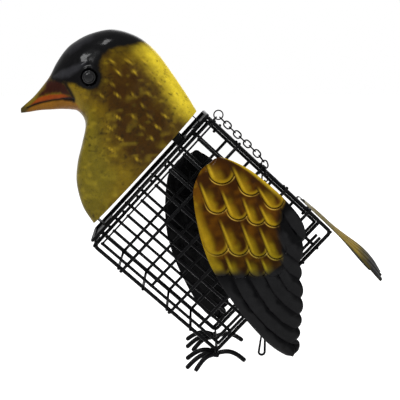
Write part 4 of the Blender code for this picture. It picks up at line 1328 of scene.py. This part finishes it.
@dataclass
class StampedWing(SubAssembly):
    """A crowned wing stamped with lapped feathers and painted gold to black."""

    length: float = 159.5 * MM
    crown: float = 8 * MM
    arch_power: float = 0.8
    taper_power: float = 0.5
    taper_shares: Pair = (0.08, 0.92)
    flare: float = math.radians(9.2)
    near_top: Place = (5.1 * MM, -10.5 * MM, -26.3 * MM)
    near_lean: float = math.radians(19.45)
    far_top: Place = (-7 * MM, 47.5 * MM, -29.1 * MM)
    far_lean: float = math.radians(6.45)
    rows: int = 330
    columns: int = 140
    even_rows: float = 0.45
    leading_shares: Shares = (
        (0, -0.02), (0.023, -0.083), (0.057, -0.125), (0.1, -0.158), (0.16, -0.178), (0.24, -0.194),
        (0.32, -0.204), (0.4, -0.208), (0.46, -0.206), (0.51, -0.199), (0.58, -0.187), (0.64, -0.172),
        (0.722, -0.148), (0.793, -0.124), (0.858, -0.097), (0.918, -0.068), (0.962, -0.038),
        (0.980, -0.022), (0.992, -0.009), (1, 0.010),
    )
    trailing_shares: Shares = (
        (0, 0.012), (0.023, 0.041), (0.057, 0.078), (0.1, 0.116), (0.16, 0.157), (0.24, 0.203),
        (0.32, 0.241), (0.4, 0.268), (0.45, 0.271), (0.478, 0.266), (0.496, 0.252), (0.503, 0.24),
    )
    notches: Shares = (
        (0.503, 0.24), (0.596, 0.187), (0.672, 0.166), (0.755, 0.144), (0.825, 0.114), (0.884, 0.085),
        (0.934, 0.060), (1, 0.030),
    )
    tip_shares: Shares = (
        (0.934, 0.060), (0.944, 0.066), (0.962, 0.067), (0.980, 0.058), (0.992, 0.044), (1, 0.018),
    )
    lobe_reach: float = 0.0155
    lobe_skew: float = 1.3
    lobe_power: float = 0.6
    covert_lift: float = 0.9 * MM
    covert_dome: float = 0.45 * MM
    rim_height: float = 0.3 * MM
    long_dome: float = 1.0 * MM
    seam_depth: float = 0.45 * MM
    seam_place: float = 0.15 * MM
    seam_width: float = 0.42 * MM
    lit_place: float = 1.0 * MM
    lit_width: float = 0.36 * MM
    long_tip_lift: float = 0.3 * MM
    brush_marks: Pair = (9 * MM, 3.5 * MM)

    COVERTS: Shares = (
        (-0.170, 0.38, -0.155, 0.530, 0.050), (-0.085, 0.42, -0.078, 0.566, 0.048),
        (-0.003, 0.46, 0.003, 0.586, 0.044), (0.065, 0.49, 0.072, 0.609, 0.045),
        (-0.142, 0.19, -0.143, 0.429, 0.056), (-0.055, 0.24, -0.046, 0.461, 0.047),
        (0.030, 0.29, 0.036, 0.498, 0.041), (0.104, 0.34, 0.113, 0.537, 0.044),
        (-0.082, 0.05, -0.074, 0.243, 0.049), (0.000, 0.12, 0.006, 0.304, 0.047),
        (0.078, 0.19, 0.079, 0.354, 0.043), (0.140, 0.25, 0.157, 0.390, 0.046),
        (-0.012, -0.03, -0.002, 0.123, 0.060), (0.088, 0.03, 0.106, 0.218, 0.052),
        (0.158, 0.16, 0.192, 0.313, 0.046),
    )
    FADING_COVERTS: int = 4
    LONG_BORDERS: tuple[Shares, ...] = (
        ((-0.205, 0.50), (-0.193, 0.62), (-0.155, 0.74), (-0.110, 0.86), (-0.02, 1.02)),
        ((-0.131, 0.50), (-0.118, 0.645), (-0.095, 0.731), (-0.056, 0.827), (-0.010, 0.900), (0.060, 0.978)),
        ((-0.064, 0.53), (-0.037, 0.671), (-0.016, 0.752), (0.022, 0.827), (0.095, 0.913)),
        ((0.004, 0.53), (0.028, 0.682), (0.062, 0.760), (0.128, 0.860)),
        ((0.066, 0.56), (0.095, 0.692), (0.160, 0.785)),
        ((0.088, 0.50), (0.103, 0.551), (0.128, 0.619), (0.187, 0.692)),
        ((0.122, 0.40), (0.134, 0.465), (0.146, 0.520), (0.206, 0.622)),
        ((0.190, 0.33), (0.210, 0.419), (0.228, 0.470), (0.256, 0.525)),
    )
    LONG_HALF_WIDTH: float = 0.043
    BLACK_EDGE: Shares = (
        (0, 0.60), (0.2, 0.31), (0.25, 0.262), (0.3, 0.215), (0.35, 0.172), (0.40, 0.14), (0.46, 0.128),
        (0.53, 0.122), (0.57, 0.10), (0.592, 0.02), (0.61, -0.40), (1.1, -0.8),
    )
    BROWN: Tone = (44, 21, 1)
    OCHRE: Tone = (84, 50, 3)
    GOLD: Tone = (136, 108, 13)
    HIGHLIGHT_GOLD: Tone = (190, 158, 34)
    CREAM: Tone = (196, 158, 62)
    SEAM: Tone = (12, 5, 2)
    BLACK: Tone = (2, 2, 3)
    GREY: Tone = (24, 24, 25)
    INSIDE: Tone = (9, 9, 10)

    def feathers(self) -> list[Feather]:
        """Lists the feathers.

        Returns:
            The feathers, from the lowest to the uppermost.
        """
        made = []
        for border in self.LONG_BORDERS:
            line = np.array(border)
            ahead = unit(np.gradient(line, axis=0))
            axis = line + np.stack([ahead[:, 1], -ahead[:, 0]], axis=1) * self.LONG_HALF_WIDTH
            made.append(Feather(tuple(map(tuple, axis)), self.LONG_HALF_WIDTH, FeatherKind.LONG))
        for k, (root_x, root_y, tip_x, tip_y, half_width) in enumerate(self.COVERTS):
            kind = FeatherKind.FADING if k < self.FADING_COVERTS else FeatherKind.COVERT
            made.append(Feather(((root_x, root_y), (tip_x, tip_y)), half_width, kind))
        return made

    def lattice(self) -> tuple[np.ndarray, np.ndarray]:
        """Sets out the sheet inside its scalloped edge.

        Returns:
            The places across and along in shares, and how far between the edges each lies.
        """
        share = np.linspace(0, 1, self.rows)
        along = self.even_rows * share + (1 - self.even_rows) * (1 - np.cos(math.pi * share)) / 2
        edges = []
        for shares in (self.leading_shares, self.trailing_shares, self.tip_shares):
            keys = np.array(shares)
            edges.append(smooth_curve(keys[:, 0], keys[:, 1:], along)[:, 0])
        leading, trailing, tip = edges
        notches = np.array(self.notches)
        part = np.interp(along, notches[:, 0], np.arange(len(notches))) % 1
        lobes = np.interp(along, notches[:, 0], notches[:, 1])
        lobes += self.lobe_reach * np.sin(math.pi * part ** self.lobe_skew) ** self.lobe_power
        trailing = np.where(along < notches[0, 0], trailing, np.where(along > notches[-2, 0], tip, lobes))
        column = np.linspace(0, 1, self.columns)[None, :]
        across = leading[:, None] + (trailing - leading)[:, None] * column
        places = np.stack([across, np.broadcast_to(along[:, None], across.shape)], axis=-1)
        return places, np.broadcast_to(column, across.shape)

    def crowned(self, places: np.ndarray, column: np.ndarray) -> np.ndarray:
        """Reads the plain crown of the sheet.

        Args:
            places: Places across and along, in shares.
            column: How far between the edges each lies.

        Returns:
            The height at each place.
        """
        low, high = self.taper_shares
        arch = np.sin(math.pi * np.clip(column, 0, 1)) ** self.arch_power
        taper = np.sin(math.pi * (low + (high - low) * places[..., 1])) ** self.taper_power
        return self.crown * arch * taper

    def stamped(self, places: np.ndarray, column: np.ndarray) -> tuple[np.ndarray, np.ndarray]:
        """Stamps and paints the feathers, each over those below it.

        Args:
            places: Places across and along, in shares.
            column: How far between the edges each lies.

        Returns:
            The height over the plain crown, and the colour, at each place.
        """
        spots = np.concatenate([places * self.length, np.zeros_like(places[..., :1])], axis=-1)
        cloudy = clouds(spots, *self.brush_marks, seed=21)
        uneven = cloudy - 0.5
        height = np.zeros(places.shape[:-1])
        color = brush(plain(self.OCHRE, spots.shape), self.GOLD, ease(0.35, 0.75, cloudy))
        dark = plain(self.BLACK, spots.shape)
        for feather in self.feathers():
            out, run, aside = feather.measure(places)
            inside = ease(1.03, 0.97, out) * ease(-0.12, 0.02, run)
            rim = (1 - out) * feather.half_width * self.length
            tip = ease(0.15, 1, run)
            end = ease(0.6, 0.86, run)
            # The dark line in the groove at each feather's edge is partly dark paint and partly painted shade
            # in the crease.
            shaded_seam = hump(rim + self.seam_place, self.seam_width) * ease(0, 0.25, run)
            lit_edge = hump(rim + self.lit_place, self.lit_width) * end
            dome = np.clip(1 - aside ** 2, 0, 1)
            if feather.kind is FeatherKind.LONG:
                own = self.long_dome * dome + self.long_tip_lift * tip
                # The grey on each long feather's left slope is partly dry-brushed paint and partly painted
                # light on the lit slope; the right slope stays black.
                band = ease(0.45, -0.05, aside + uneven * 0.9) * ease(-1.02, -0.86, aside)
                band = band * ease(0.05, 0.25, run) * (0.8 + 0.3 * cloudy)
                dark = blend_in(dark, brush(plain(self.BLACK, spots.shape), self.GREY, band), inside)
            else:
                own = self.covert_lift * tip + self.covert_dome * dome * (0.4 + 0.6 * tip)
                # Cream along the lip past each covert's rim: partly brushed paint and partly a painted
                # highlight.
                color = brush(color, self.CREAM, lit_edge * (0.3 + 0.6 * ease(0.2, 0.8, np.abs(aside))))
                color = blend_in(color, self.covert_paint(out, run, aside, cloudy), inside)
                color = brush(color, self.SEAM, shaded_seam * (0.5 + 0.45 * end))
                height = height + self.rim_height * lit_edge
                if feather.kind is FeatherKind.FADING:
                    # Grey on the left side of the coverts that fade to black: partly dry-brushed paint and
                    # partly a painted highlight on the lit side.
                    dark = blend_in(dark, brush(dark, self.GREY, ease(0.45, -0.1, aside) * 0.8), inside)
            height = height + (own - height) * inside - self.seam_depth * shaded_seam
        across = places[..., 0]
        along = places[..., 1]
        # A painted highlight along the top of the back edge, near the shoulder.
        back_edge_highlight = ease(0.93, 0.995, column) * ease(0.36, 0.2, along)
        color = brush(color, self.HIGHLIGHT_GOLD, back_edge_highlight * 0.85)
        front_edge = ease(0.13, 0.03, column + uneven * 0.05) * ease(0.1, 0.3, along)
        color = brush(color, self.GOLD, front_edge * 0.85)
        color = color * (1 - 0.3 * ease(0.3, 0.62, along))[..., None] ** (1.3, 0.7, 0.7)
        keys = np.array(self.BLACK_EDGE)
        beyond = across - np.interp(along, keys[:, 0], keys[:, 1]) + uneven * 0.03
        slant = 0.36 * np.clip(0.03 - across, 0, 0.2)
        low_fade = ease(0.545, 0.60, along + slant + uneven * 0.03)
        black_share = np.maximum(ease(-0.018, 0.022, beyond), low_fade)[..., None]
        return height, color * (1 - black_share) + dark * black_share

    def covert_paint(
        self, out: np.ndarray, run: np.ndarray, aside: np.ndarray, cloudy: np.ndarray,
    ) -> np.ndarray:
        """Paints one covert: a brown middle between gold edges, with a painted highlight along its left edge
        and painted shade down its right side.

        Args:
            out: How far out each place lies.
            run: How far down the feather.
            aside: How far aside.
            cloudy: A pattern of brush marks.

        Returns:
            The colour at each place.
        """
        # Gold on the left edge is partly the covert's own gold and partly painted light on the lit left side.
        left = ease(0.15, -0.7, aside + (cloudy - 0.5) * 0.8) * ease(0.25, 0.75, run) * 0.9
        layers = (
            (self.OCHRE, ease(0.35, 0.85, cloudy)),
            (self.GOLD, left),
            # A painted highlight along the left edge, then gold near the tip, then painted shade down the
            # right side.
            (self.HIGHLIGHT_GOLD, hump(aside + 0.8, 0.12) * ease(0.1, 0.4, run) * 0.5),
            (self.GOLD, ease(0.6, 0.9, out) * ease(0.55, 0.9, run) * 0.8),
            (self.SEAM, ease(0.75, 1.0, aside) * ease(0.9, 0.6, run) * 0.6),
        )
        shade = plain(self.BROWN, out.shape + (3,))
        for color, share in layers:
            shade = brush(shade, color, share)
        return shade

    def build(self, side: Side) -> None:
        """Builds one wing, hung by the top of its axis and leaning toward the tail.

        Args:
            side: The side that it hangs on.
        """
        near = side is Side.NEAR
        top = self.near_top if near else self.far_top
        lean = self.near_lean if near else self.far_lean
        places, column = self.lattice()
        height, color = self.stamped(places, column)
        rise = self.crowned(places, column) + height
        turn = np.array(Matrix.Rotation(-lean, 3, "Y") @ Matrix.Rotation(side.value * self.flare, 3, "X"))
        across = places[..., 0] * self.length
        fall = -places[..., 1] * self.length
        grids = []
        for offset in (0, self.cage.sheet):
            local = np.stack([across, side.value * (rise - offset), fall], axis=-1)
            grids.append(local @ turn.T + np.array(top))
        shell = Shell()
        shell.add_sheet(*grids, color, plain(self.INSIDE, color.shape))
        body = Body.FEEDER if near else Body.DOOR
        node = f"{side.word}_wing"
        shell.finish(f"{side.word}_painted_wing", self.finishes.wing, body, Slot.WING, node)


@dataclass
class RidgedTail(SubAssembly):
    """The folded tail sheet, with lapped feathers and a notched end."""

    length: float = 90 * MM
    root: float = 101 * MM
    shares: Shares = (
        (0, 0.11, 0.055), (0.12, 0.14, 0.062), (0.28, 0.165, 0.069), (0.42, 0.18, 0.075),
        (0.56, 0.195, 0.08), (0.7, 0.21, 0.086), (0.82, 0.215, 0.084), (0.92, 0.2, 0.07), (1, 0.17, 0.05),
    )
    drop: float = 2 * MM
    ridge_keep: Pair = (0.4, 0.85)
    flare: float = 2.6 * MM
    notch: float = 5 * MM
    ridge_power: float = 1.5
    flare_power: int = 3
    lap_power: float = 0.6
    scallop_power: float = 0.7
    notch_power: float = 3
    bend_share: float = 0.28
    feather_count: int = 8
    feather_step: float = 0.45 * MM
    scallop: float = 1.6 * MM
    rows: int = 170
    columns: int = 97

    ROOT: Tone = (96, 84, 34)
    GOLD: Tone = (130, 106, 18)
    OLIVE: Tone = (74, 64, 14)
    TIP: Tone = (16, 16, 17)
    EDGE: Tone = (92, 84, 40)
    SEAM: Tone = (40, 32, 10)
    INSIDE: Tone = (30, 28, 20)

    def build(self) -> None:
        """Builds the tail."""
        share = np.linspace(0, 1, self.rows)[:, None]
        across = np.linspace(-1, 1, self.columns)[None, :]
        keys = np.array([row[0] for row in self.shares])
        shape = smooth_curve(keys, np.array([row[1:] for row in self.shares]), share[:, 0])
        place = (np.abs(across) * self.feather_count / 2) % 1
        lap = self.feather_step * np.sin(math.pi * place) ** self.lap_power * ease(0, 0.2, share)
        between = 1 - np.sin(math.pi * place) ** self.scallop_power
        tip_scallop = self.scallop * between * ease(0.8, 1, share)
        notch = self.notch * share ** self.notch_power * (1 - np.abs(across))
        u = self.root + share * self.length - notch - tip_scallop
        least, most = self.ridge_keep
        keep = least + (most - least) * ease(0.3, 0.75, share)
        ridge = shape[:, 1:] * self.length * keep * (1 - np.abs(across) ** self.ridge_power)
        ridge -= self.flare * np.abs(across) ** self.flare_power * ease(0.5, 1, share)
        rest = self.cage.rim_back - self.cage.wall_clear
        v = rest + self.drop * np.clip(share - self.bend_share, 0, None) - ridge
        depth = self.cage.depth / 2 + across * shape[:, :1] * self.length
        sheet = self.cage.sheet
        grids = [self.cage.point(u, depth, v - sheet + self.feather_step - lap), self.cage.point(u, depth, v)]
        cloudy = clouds(grids[0], coarse=8 * MM, fine=3 * MM, seed=31, share=0.5)
        fade = share + (cloudy - 0.5) * 0.16
        color = plain(self.ROOT, cloudy.shape + (3,))
        for paint, start, end in ((self.GOLD, 0.25, 0.45), (self.OLIVE, 0.55, 0.72), (self.TIP, 0.66, 0.86)):
            color = brush(color, paint, ease(start, end, fade))
        # Painted shade in the valleys between the lapped feathers.
        color = brush(color, self.SEAM, hump(np.minimum(place, 1 - place) + 0 * share, 0.1) * 0.6)
        color = brush(color, self.EDGE, ease(0.93, 1, np.abs(across)) * ease(0.9, 0.6, fade) * 0.7)
        shell = Shell()
        shell.add_sheet(*grids, color, brush(color, self.INSIDE, np.full(cloudy.shape, 0.75)))
        shell.finish("painted_tail", self.finishes.tail, Body.FEEDER, Slot.GOLD, "tail")


@dataclass
class TailClip(SubAssembly):
    """The bent strip that holds the tail's root over a cross wire of the back."""

    feet: Pair = (95.1 * MM, 108.1 * MM)
    foot_v: float = 0.1 * MM
    top_v: float = -4.3 * MM
    bend: float = 1.6 * MM
    thickness: float = 0.7 * MM
    width: float = 3 * MM
    steps: int = 4
    columns: int = 4

    def build(self) -> None:
        """Builds the clip."""
        first, last = self.feet
        rows = []
        for inset in (0, self.thickness):
            left = first + inset
            right = last - inset
            top = self.top_v + inset
            bend = self.bend - inset
            points = [(left, self.foot_v)]
            axes = ((bend, 0), (0, bend))
            for start, u in ((math.pi, left + bend), (1.5 * math.pi, right - bend)):
                points.extend(arc((u, top + bend), *axes, start, start + math.pi / 2, self.steps))
            points.append((right, self.foot_v))
            rows.append(np.array(points))
        middle = self.cage.depth / 2
        depths = middle + np.linspace(-0.5, 0.5, self.columns)[None, :] * self.width
        grids = [self.cage.point(row[:, :1], depths, row[:, 1:]) for row in rows]
        unpainted = np.zeros(grids[0].shape)
        shell = Shell()
        shell.add_sheet(*grids, unpainted, unpainted)
        shell.finish("bent_tail_clip", self.finishes.sheet, Body.FEEDER, Slot.BLACK, "tail_clip")


@dataclass
class PerchedFeet(SubAssembly):
    """The two feet: bent steel rods welded to a short bar."""

    toe_radius: float = 1.5 * MM
    shown_toe: float = 1.9 * MM
    bar_radius: float = 2.1 * MM
    bar_length: float = 12 * MM
    toe_arch: float = 4 * MM
    toe_spread: float = 3.6 * MM
    weld: tuple[float, ...] = (2.3 * MM, 2.0 * MM, 1.7 * MM)
    weld_reach: float = 1.2
    toe_steps: int = 14
    near_depth: float = 2 * MM
    far_depth: float = 33 * MM
    near_toes: Shares = ((-24, 5, -7), (-24.5, -4, -11), (-18, -14, -9), (23, -4, -6))
    far_toes: Shares = ((-24, 8, -6), (-24.5, -2, -9), (-20, -12, -8), (24, 3, -6))

    def build(self, side: Side) -> None:
        """Builds one foot.

        Args:
            side: Which foot.
        """
        depth = self.near_depth if side is Side.NEAR else self.far_depth
        toes = self.near_toes if side is Side.NEAR else self.far_toes
        share = max(depth - self.bar_length / 2, 0) / self.cage.depth
        belly = self.cage.height + self.cage.belly_margin * (1 - share)
        corner = self.cage.point(self.cage.rim_tail, 0, belly)
        fall = self.cage.wire_radius + self.bar_radius + self.cage.gap
        hub = np.array([corner[0], depth, corner[2] - fall])
        shell = Shell()
        for place, toe in zip((-1, 0, 1, 0), toes):
            way = 1 if toe[0] > 0 else -1
            start = np.array([way * self.toe_radius, -place * self.toe_spread, 0])
            part = np.linspace(0, 1, self.toe_steps)[:, None]
            route = hub + start + (np.array(toe) * MM - start) * part
            route[:, 2] += self.toe_arch * np.sin(math.pi * part[:, 0])
            shell.add_wire(route, self.shown_toe, sides=12)
            shell.add_bead(hub + start * self.weld_reach, self.weld, rings=7, sides=10)
        reach = np.array([0, self.bar_length / 2, 0])
        shell.add_wire(hub + np.linspace(-1, 1, 5)[:, None] * reach, self.bar_radius, sides=14)
        node = f"{side.word}_foot"
        shell.finish(f"{side.word}_rod_foot", self.finishes.wire, Body.FEEDER, Slot.BLACK, node)


@dataclass
class HangingChain(SubAssembly):
    """The chain: a link on the rim, a ring, a lying run, a hanging run and an end hook."""

    wire: float = 0.45 * MM
    shown_wire: float = 0.6 * MM
    reach: float = 3.15 * MM
    bow: float = 2.25 * MM
    slack: float = 0.25 * MM
    lead_links: int = 9
    drop_links: int = 26
    rim_reach: float = 3.45 * MM
    ring_radius: float = 3.45 * MM
    ring_wire: float = 0.5 * MM
    hook_wire: float = 0.6 * MM
    hook_eye: float = 2 * MM
    hook_width: float = 2.4 * MM
    hook_length: float = 21 * MM
    shown_hook: float = 0.95 * MM
    hook_opening: float = 3 * MM
    hook_start: float = math.radians(-35)
    hook_end: float = math.radians(265)
    bend_steps: int = 9
    ring_steps: int = 36
    eye_steps: int = 22
    turn_steps: int = 12
    sides: int = 8

    def link_names(self) -> list[str]:
        """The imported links' names, from the ring to the hook."""
        lead = [f"lead_link_{k + 1:02d}" for k in range(self.lead_links)]
        return lead + [f"drop_link_{k + 1:02d}" for k in range(self.drop_links)]

    def middle(self, node: str) -> np.ndarray:
        """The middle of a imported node."""
        low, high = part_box(node)
        return (np.array(low) + np.array(high)) / 2

    def add_link(
        self, shell: Shell, center: np.ndarray, along: np.ndarray, edge_on: bool, reach: float,
    ) -> None:
        """Adds one oblong link.

        Args:
            shell: The piece it goes into.
            center: Its middle.
            along: The way that it runs.
            edge_on: Whether its edge, not its opening, faces the side.
            reach: Half its length.
        """
        forward = unit(along)
        normal = np.array([0.0, 1.0, 0.0])
        normal = unit(normal - forward * (normal @ forward))
        if edge_on:
            normal = np.cross(forward, normal)
        across = np.cross(forward, normal)
        parts = []
        for way in (1, -1):
            bend = center + forward * (reach - self.bow) * way
            axes = (forward * self.bow * way, across * self.bow * way)
            parts.append(arc(bend, *axes, -math.pi / 2, math.pi / 2, self.bend_steps))
        shell.add_wire(np.concatenate(parts), self.shown_wire, sides=self.sides, closed=True)

    def build(self) -> None:
        """Builds the whole chain."""
        surface = self.finishes.wire
        names = self.link_names()
        places = [self.middle(name) for name in names]
        places.append(places[-1] + (0, 0, -2 * self.reach))
        runs = (
            ("lying_chain", 0, self.lead_links, Body.LEAD),
            ("hanging_chain", self.lead_links, len(names), Body.DROP),
        )
        for title, first, last, body in runs:
            shell = Shell()
            for k in range(first, last):
                along = places[k + 1] - places[max(k - 1, 0)]
                self.add_link(shell, places[k], along, k % 2 == 0, self.reach)
            shell.finish(title, surface, body, Slot.BLACK, *names[first:last])
        shell = Shell()
        self.add_link(shell, self.middle("rim_link"), self.cage.point(0, 0, -1), True, self.rim_reach)
        shell.finish("rim_chain_link", surface, Body.FEEDER, Slot.BLACK, "rim_link")
        shell = Shell()
        radius = self.ring_radius
        ring = arc(self.middle("hang_ring"), (radius, 0, 0), (0, 0, radius), 0, math.tau, self.ring_steps)
        shell.add_wire(ring[:-1], self.ring_wire, closed=True)
        shell.finish("round_ring", surface, Body.LEAD, Slot.BLACK, "hang_ring")
        self.build_hook(places[-2])

    def build_hook(self, last: np.ndarray) -> None:
        """Builds the end hook from one bent wire.

        Args:
            last: The middle of the link that it hangs on.
        """
        across = np.array([1.0, 0, 0])
        up = np.array([0, 0, 1.0])
        width = self.hook_width
        eye = last - up * (self.reach - self.wire - self.hook_wire + self.hook_eye - self.slack)
        axes = (across * self.hook_eye, up * self.hook_eye)
        loop = arc(eye, *axes, self.hook_start, self.hook_end, self.eye_steps)
        bend = eye - up * (self.hook_length - width)
        turn = arc(bend, across * width, up * width, math.pi, math.tau, self.turn_steps)
        rise = self.hook_length - width - self.hook_eye - self.hook_opening
        shell = Shell()
        shell.add_wire(np.concatenate([loop, turn, [bend + across * width + up * rise]]), self.shown_hook)
        shell.finish("end_hook", self.finishes.wire, Body.HOOK, Slot.BLACK, "hang_hook")


@dataclass
class SheetParts(SubAssembly):
    """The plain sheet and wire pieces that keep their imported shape."""

    nodes: tuple[str, ...] = (
        "top_head_tab", "bottom_head_tab", "near_head_tab", "far_head_tab",
        "near_wing_staple", "far_wing_staple",
    )

    def dress(self) -> None:
        """Gives each of them the black sheet finish."""
        for name in self.nodes:
            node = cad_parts[name]
            node.data.materials.clear()
            node.data.materials.append(self.finishes.sheet)
            log.info("%s: keeps its packed shape", name)


@dataclass(frozen=True)
class Lamp:
    """One soft area lamp, aimed at the feeder."""

    name: str
    place: Place
    power: float
    size: float

    def light(self, target: Vector) -> None:
        """Makes the lamp.

        Args:
            target: What it is aimed at.
        """
        data = bpy.data.lights.new(self.name, "AREA")
        data.energy = self.power
        data.size = self.size
        lamp = bpy.data.objects.new(self.name, data)
        lamp.location = self.place
        lamp.rotation_euler = (target - Vector(self.place)).to_track_quat("-Z", "Y").to_euler()
        bpy.context.scene.collection.objects.link(lamp)


@dataclass(frozen=True)
class Studio:
    """The pale floor, the soft light and the camera."""

    floor_height: float = -0.30
    floor_size: float = 12.0
    floor_color: tuple[float, ...] = (0.86, 0.86, 0.86, 1)
    floor_lift: float = 0.5
    target: Place = (0.0, 0.018, -0.06)
    camera_place: Place = (-0.04355, -0.53625, 0.04720)
    camera_turn: Place = (math.pi / 2 - 0.198, 0, -0.0668)
    camera_lens: float = 64.19
    camera_sensor: float = 36
    ambient: float = 0.62
    lamps: tuple[Lamp, ...] = (
        Lamp("key_lamp", (-0.55, -0.75, 0.65), 6.4, 0.22),
        Lamp("fill_lamp", (0.8, -0.7, 0.1), 1.6, 0.9),
        Lamp("top_lamp", (-0.12, -0.3, 0.85), 3.2, 0.18),
        Lamp("back_lamp", (0.3, 1.0, 0.4), 4.0, 0.8),
    )

    def seen(self, kit: NodeKit) -> bpy.types.NodeSocket:
        """Tells rays from the camera, mirrors and glass from the rest.

        Args:
            kit: The nodes it goes into.

        Returns:
            1 for such rays.
        """
        rays = kit.add("LightPath", {}).outputs
        total = rays["Is Camera Ray"]
        for name in ("Is Glossy Ray", "Is Transmission Ray"):
            total = kit.add("Math", {0: total, 1: rays[name]}, "MAXIMUM").outputs[0]
        return total

    def make_world(self) -> None:
        """Lights the air evenly, and shows it white."""
        world = bpy.data.worlds.new("studio_air")
        bpy.context.scene.world = world
        world.use_nodes = True
        kit = NodeKit(world.node_tree)
        levels = {"To Min": self.ambient, "To Max": 1.0, "Value": self.seen(kit)}
        strength = kit.add("MapRange", levels).outputs["Result"]
        kit.fill(kit.tree.nodes["Background"], {"Color": WHITE, "Strength": strength})

    def make_floor(self) -> None:
        """Lays the pale floor, which keeps the feeder's shadow."""
        half = self.floor_size / 2
        mesh = bpy.data.meshes.new("studio_floor")
        edges = ((-half, -half), (half, -half), (half, half), (-half, half))
        mesh.from_pydata([(x, y, self.floor_height) for x, y in edges], [], [(0, 1, 2, 3)])
        floor = bpy.data.objects.new("studio_floor", mesh)
        bpy.context.scene.collection.objects.link(floor)
        material, kit = new_material("floor_white")
        lift = kit.add("Math", {0: self.seen(kit), 1: self.floor_lift}, "MULTIPLY").outputs[0]
        kit.fill(kit.tree.nodes[SHADER], {
            "Base Color": self.floor_color,
            "Roughness": 0.9,
            "Specular IOR Level": 0.1,
            "Emission Color": WHITE,
            "Emission Strength": lift,
        })
        mesh.materials.append(material)

    def set_up(self) -> None:
        """Sets up the floor, air, lamps and camera."""
        scene = bpy.context.scene
        scene.view_settings.view_transform = "Standard"
        self.make_world()
        self.make_floor()
        for lamp in self.lamps:
            lamp.light(Vector(self.target))
        data = bpy.data.cameras.new("photo_camera")
        data.sensor_width = self.camera_sensor
        data.lens = self.camera_lens
        camera = bpy.data.objects.new("photo_camera", data)
        camera.location = self.camera_place
        camera.rotation_euler = self.camera_turn
        scene.collection.objects.link(camera)
        scene.camera = camera
        log.info("studio: %d lamps", len(self.lamps))


def main() -> None:
    """Builds and dresses the feeder."""
    logging.basicConfig(level=logging.INFO, format="%(name)s: %(message)s")
    parts = (CageFrame(), Finishes())
    wires = WireCage(*parts)
    wires.build_basket()
    wires.build_near_grid()
    wires.build_door()
    NeckFrame(*parts).build()
    head = FinchHead(*parts)
    for side in Side:
        head.build_half(side)
        head.build_eye(side)
    wing = StampedWing(*parts)
    for side in Side:
        wing.build(side)
    RidgedTail(*parts).build()
    TailClip(*parts).build()
    feet = PerchedFeet(*parts)
    for side in Side:
        feet.build(side)
    HangingChain(*parts).build()
    SheetParts(*parts).dress()
    Studio().set_up()


if __name__ == "__main__":
    main()
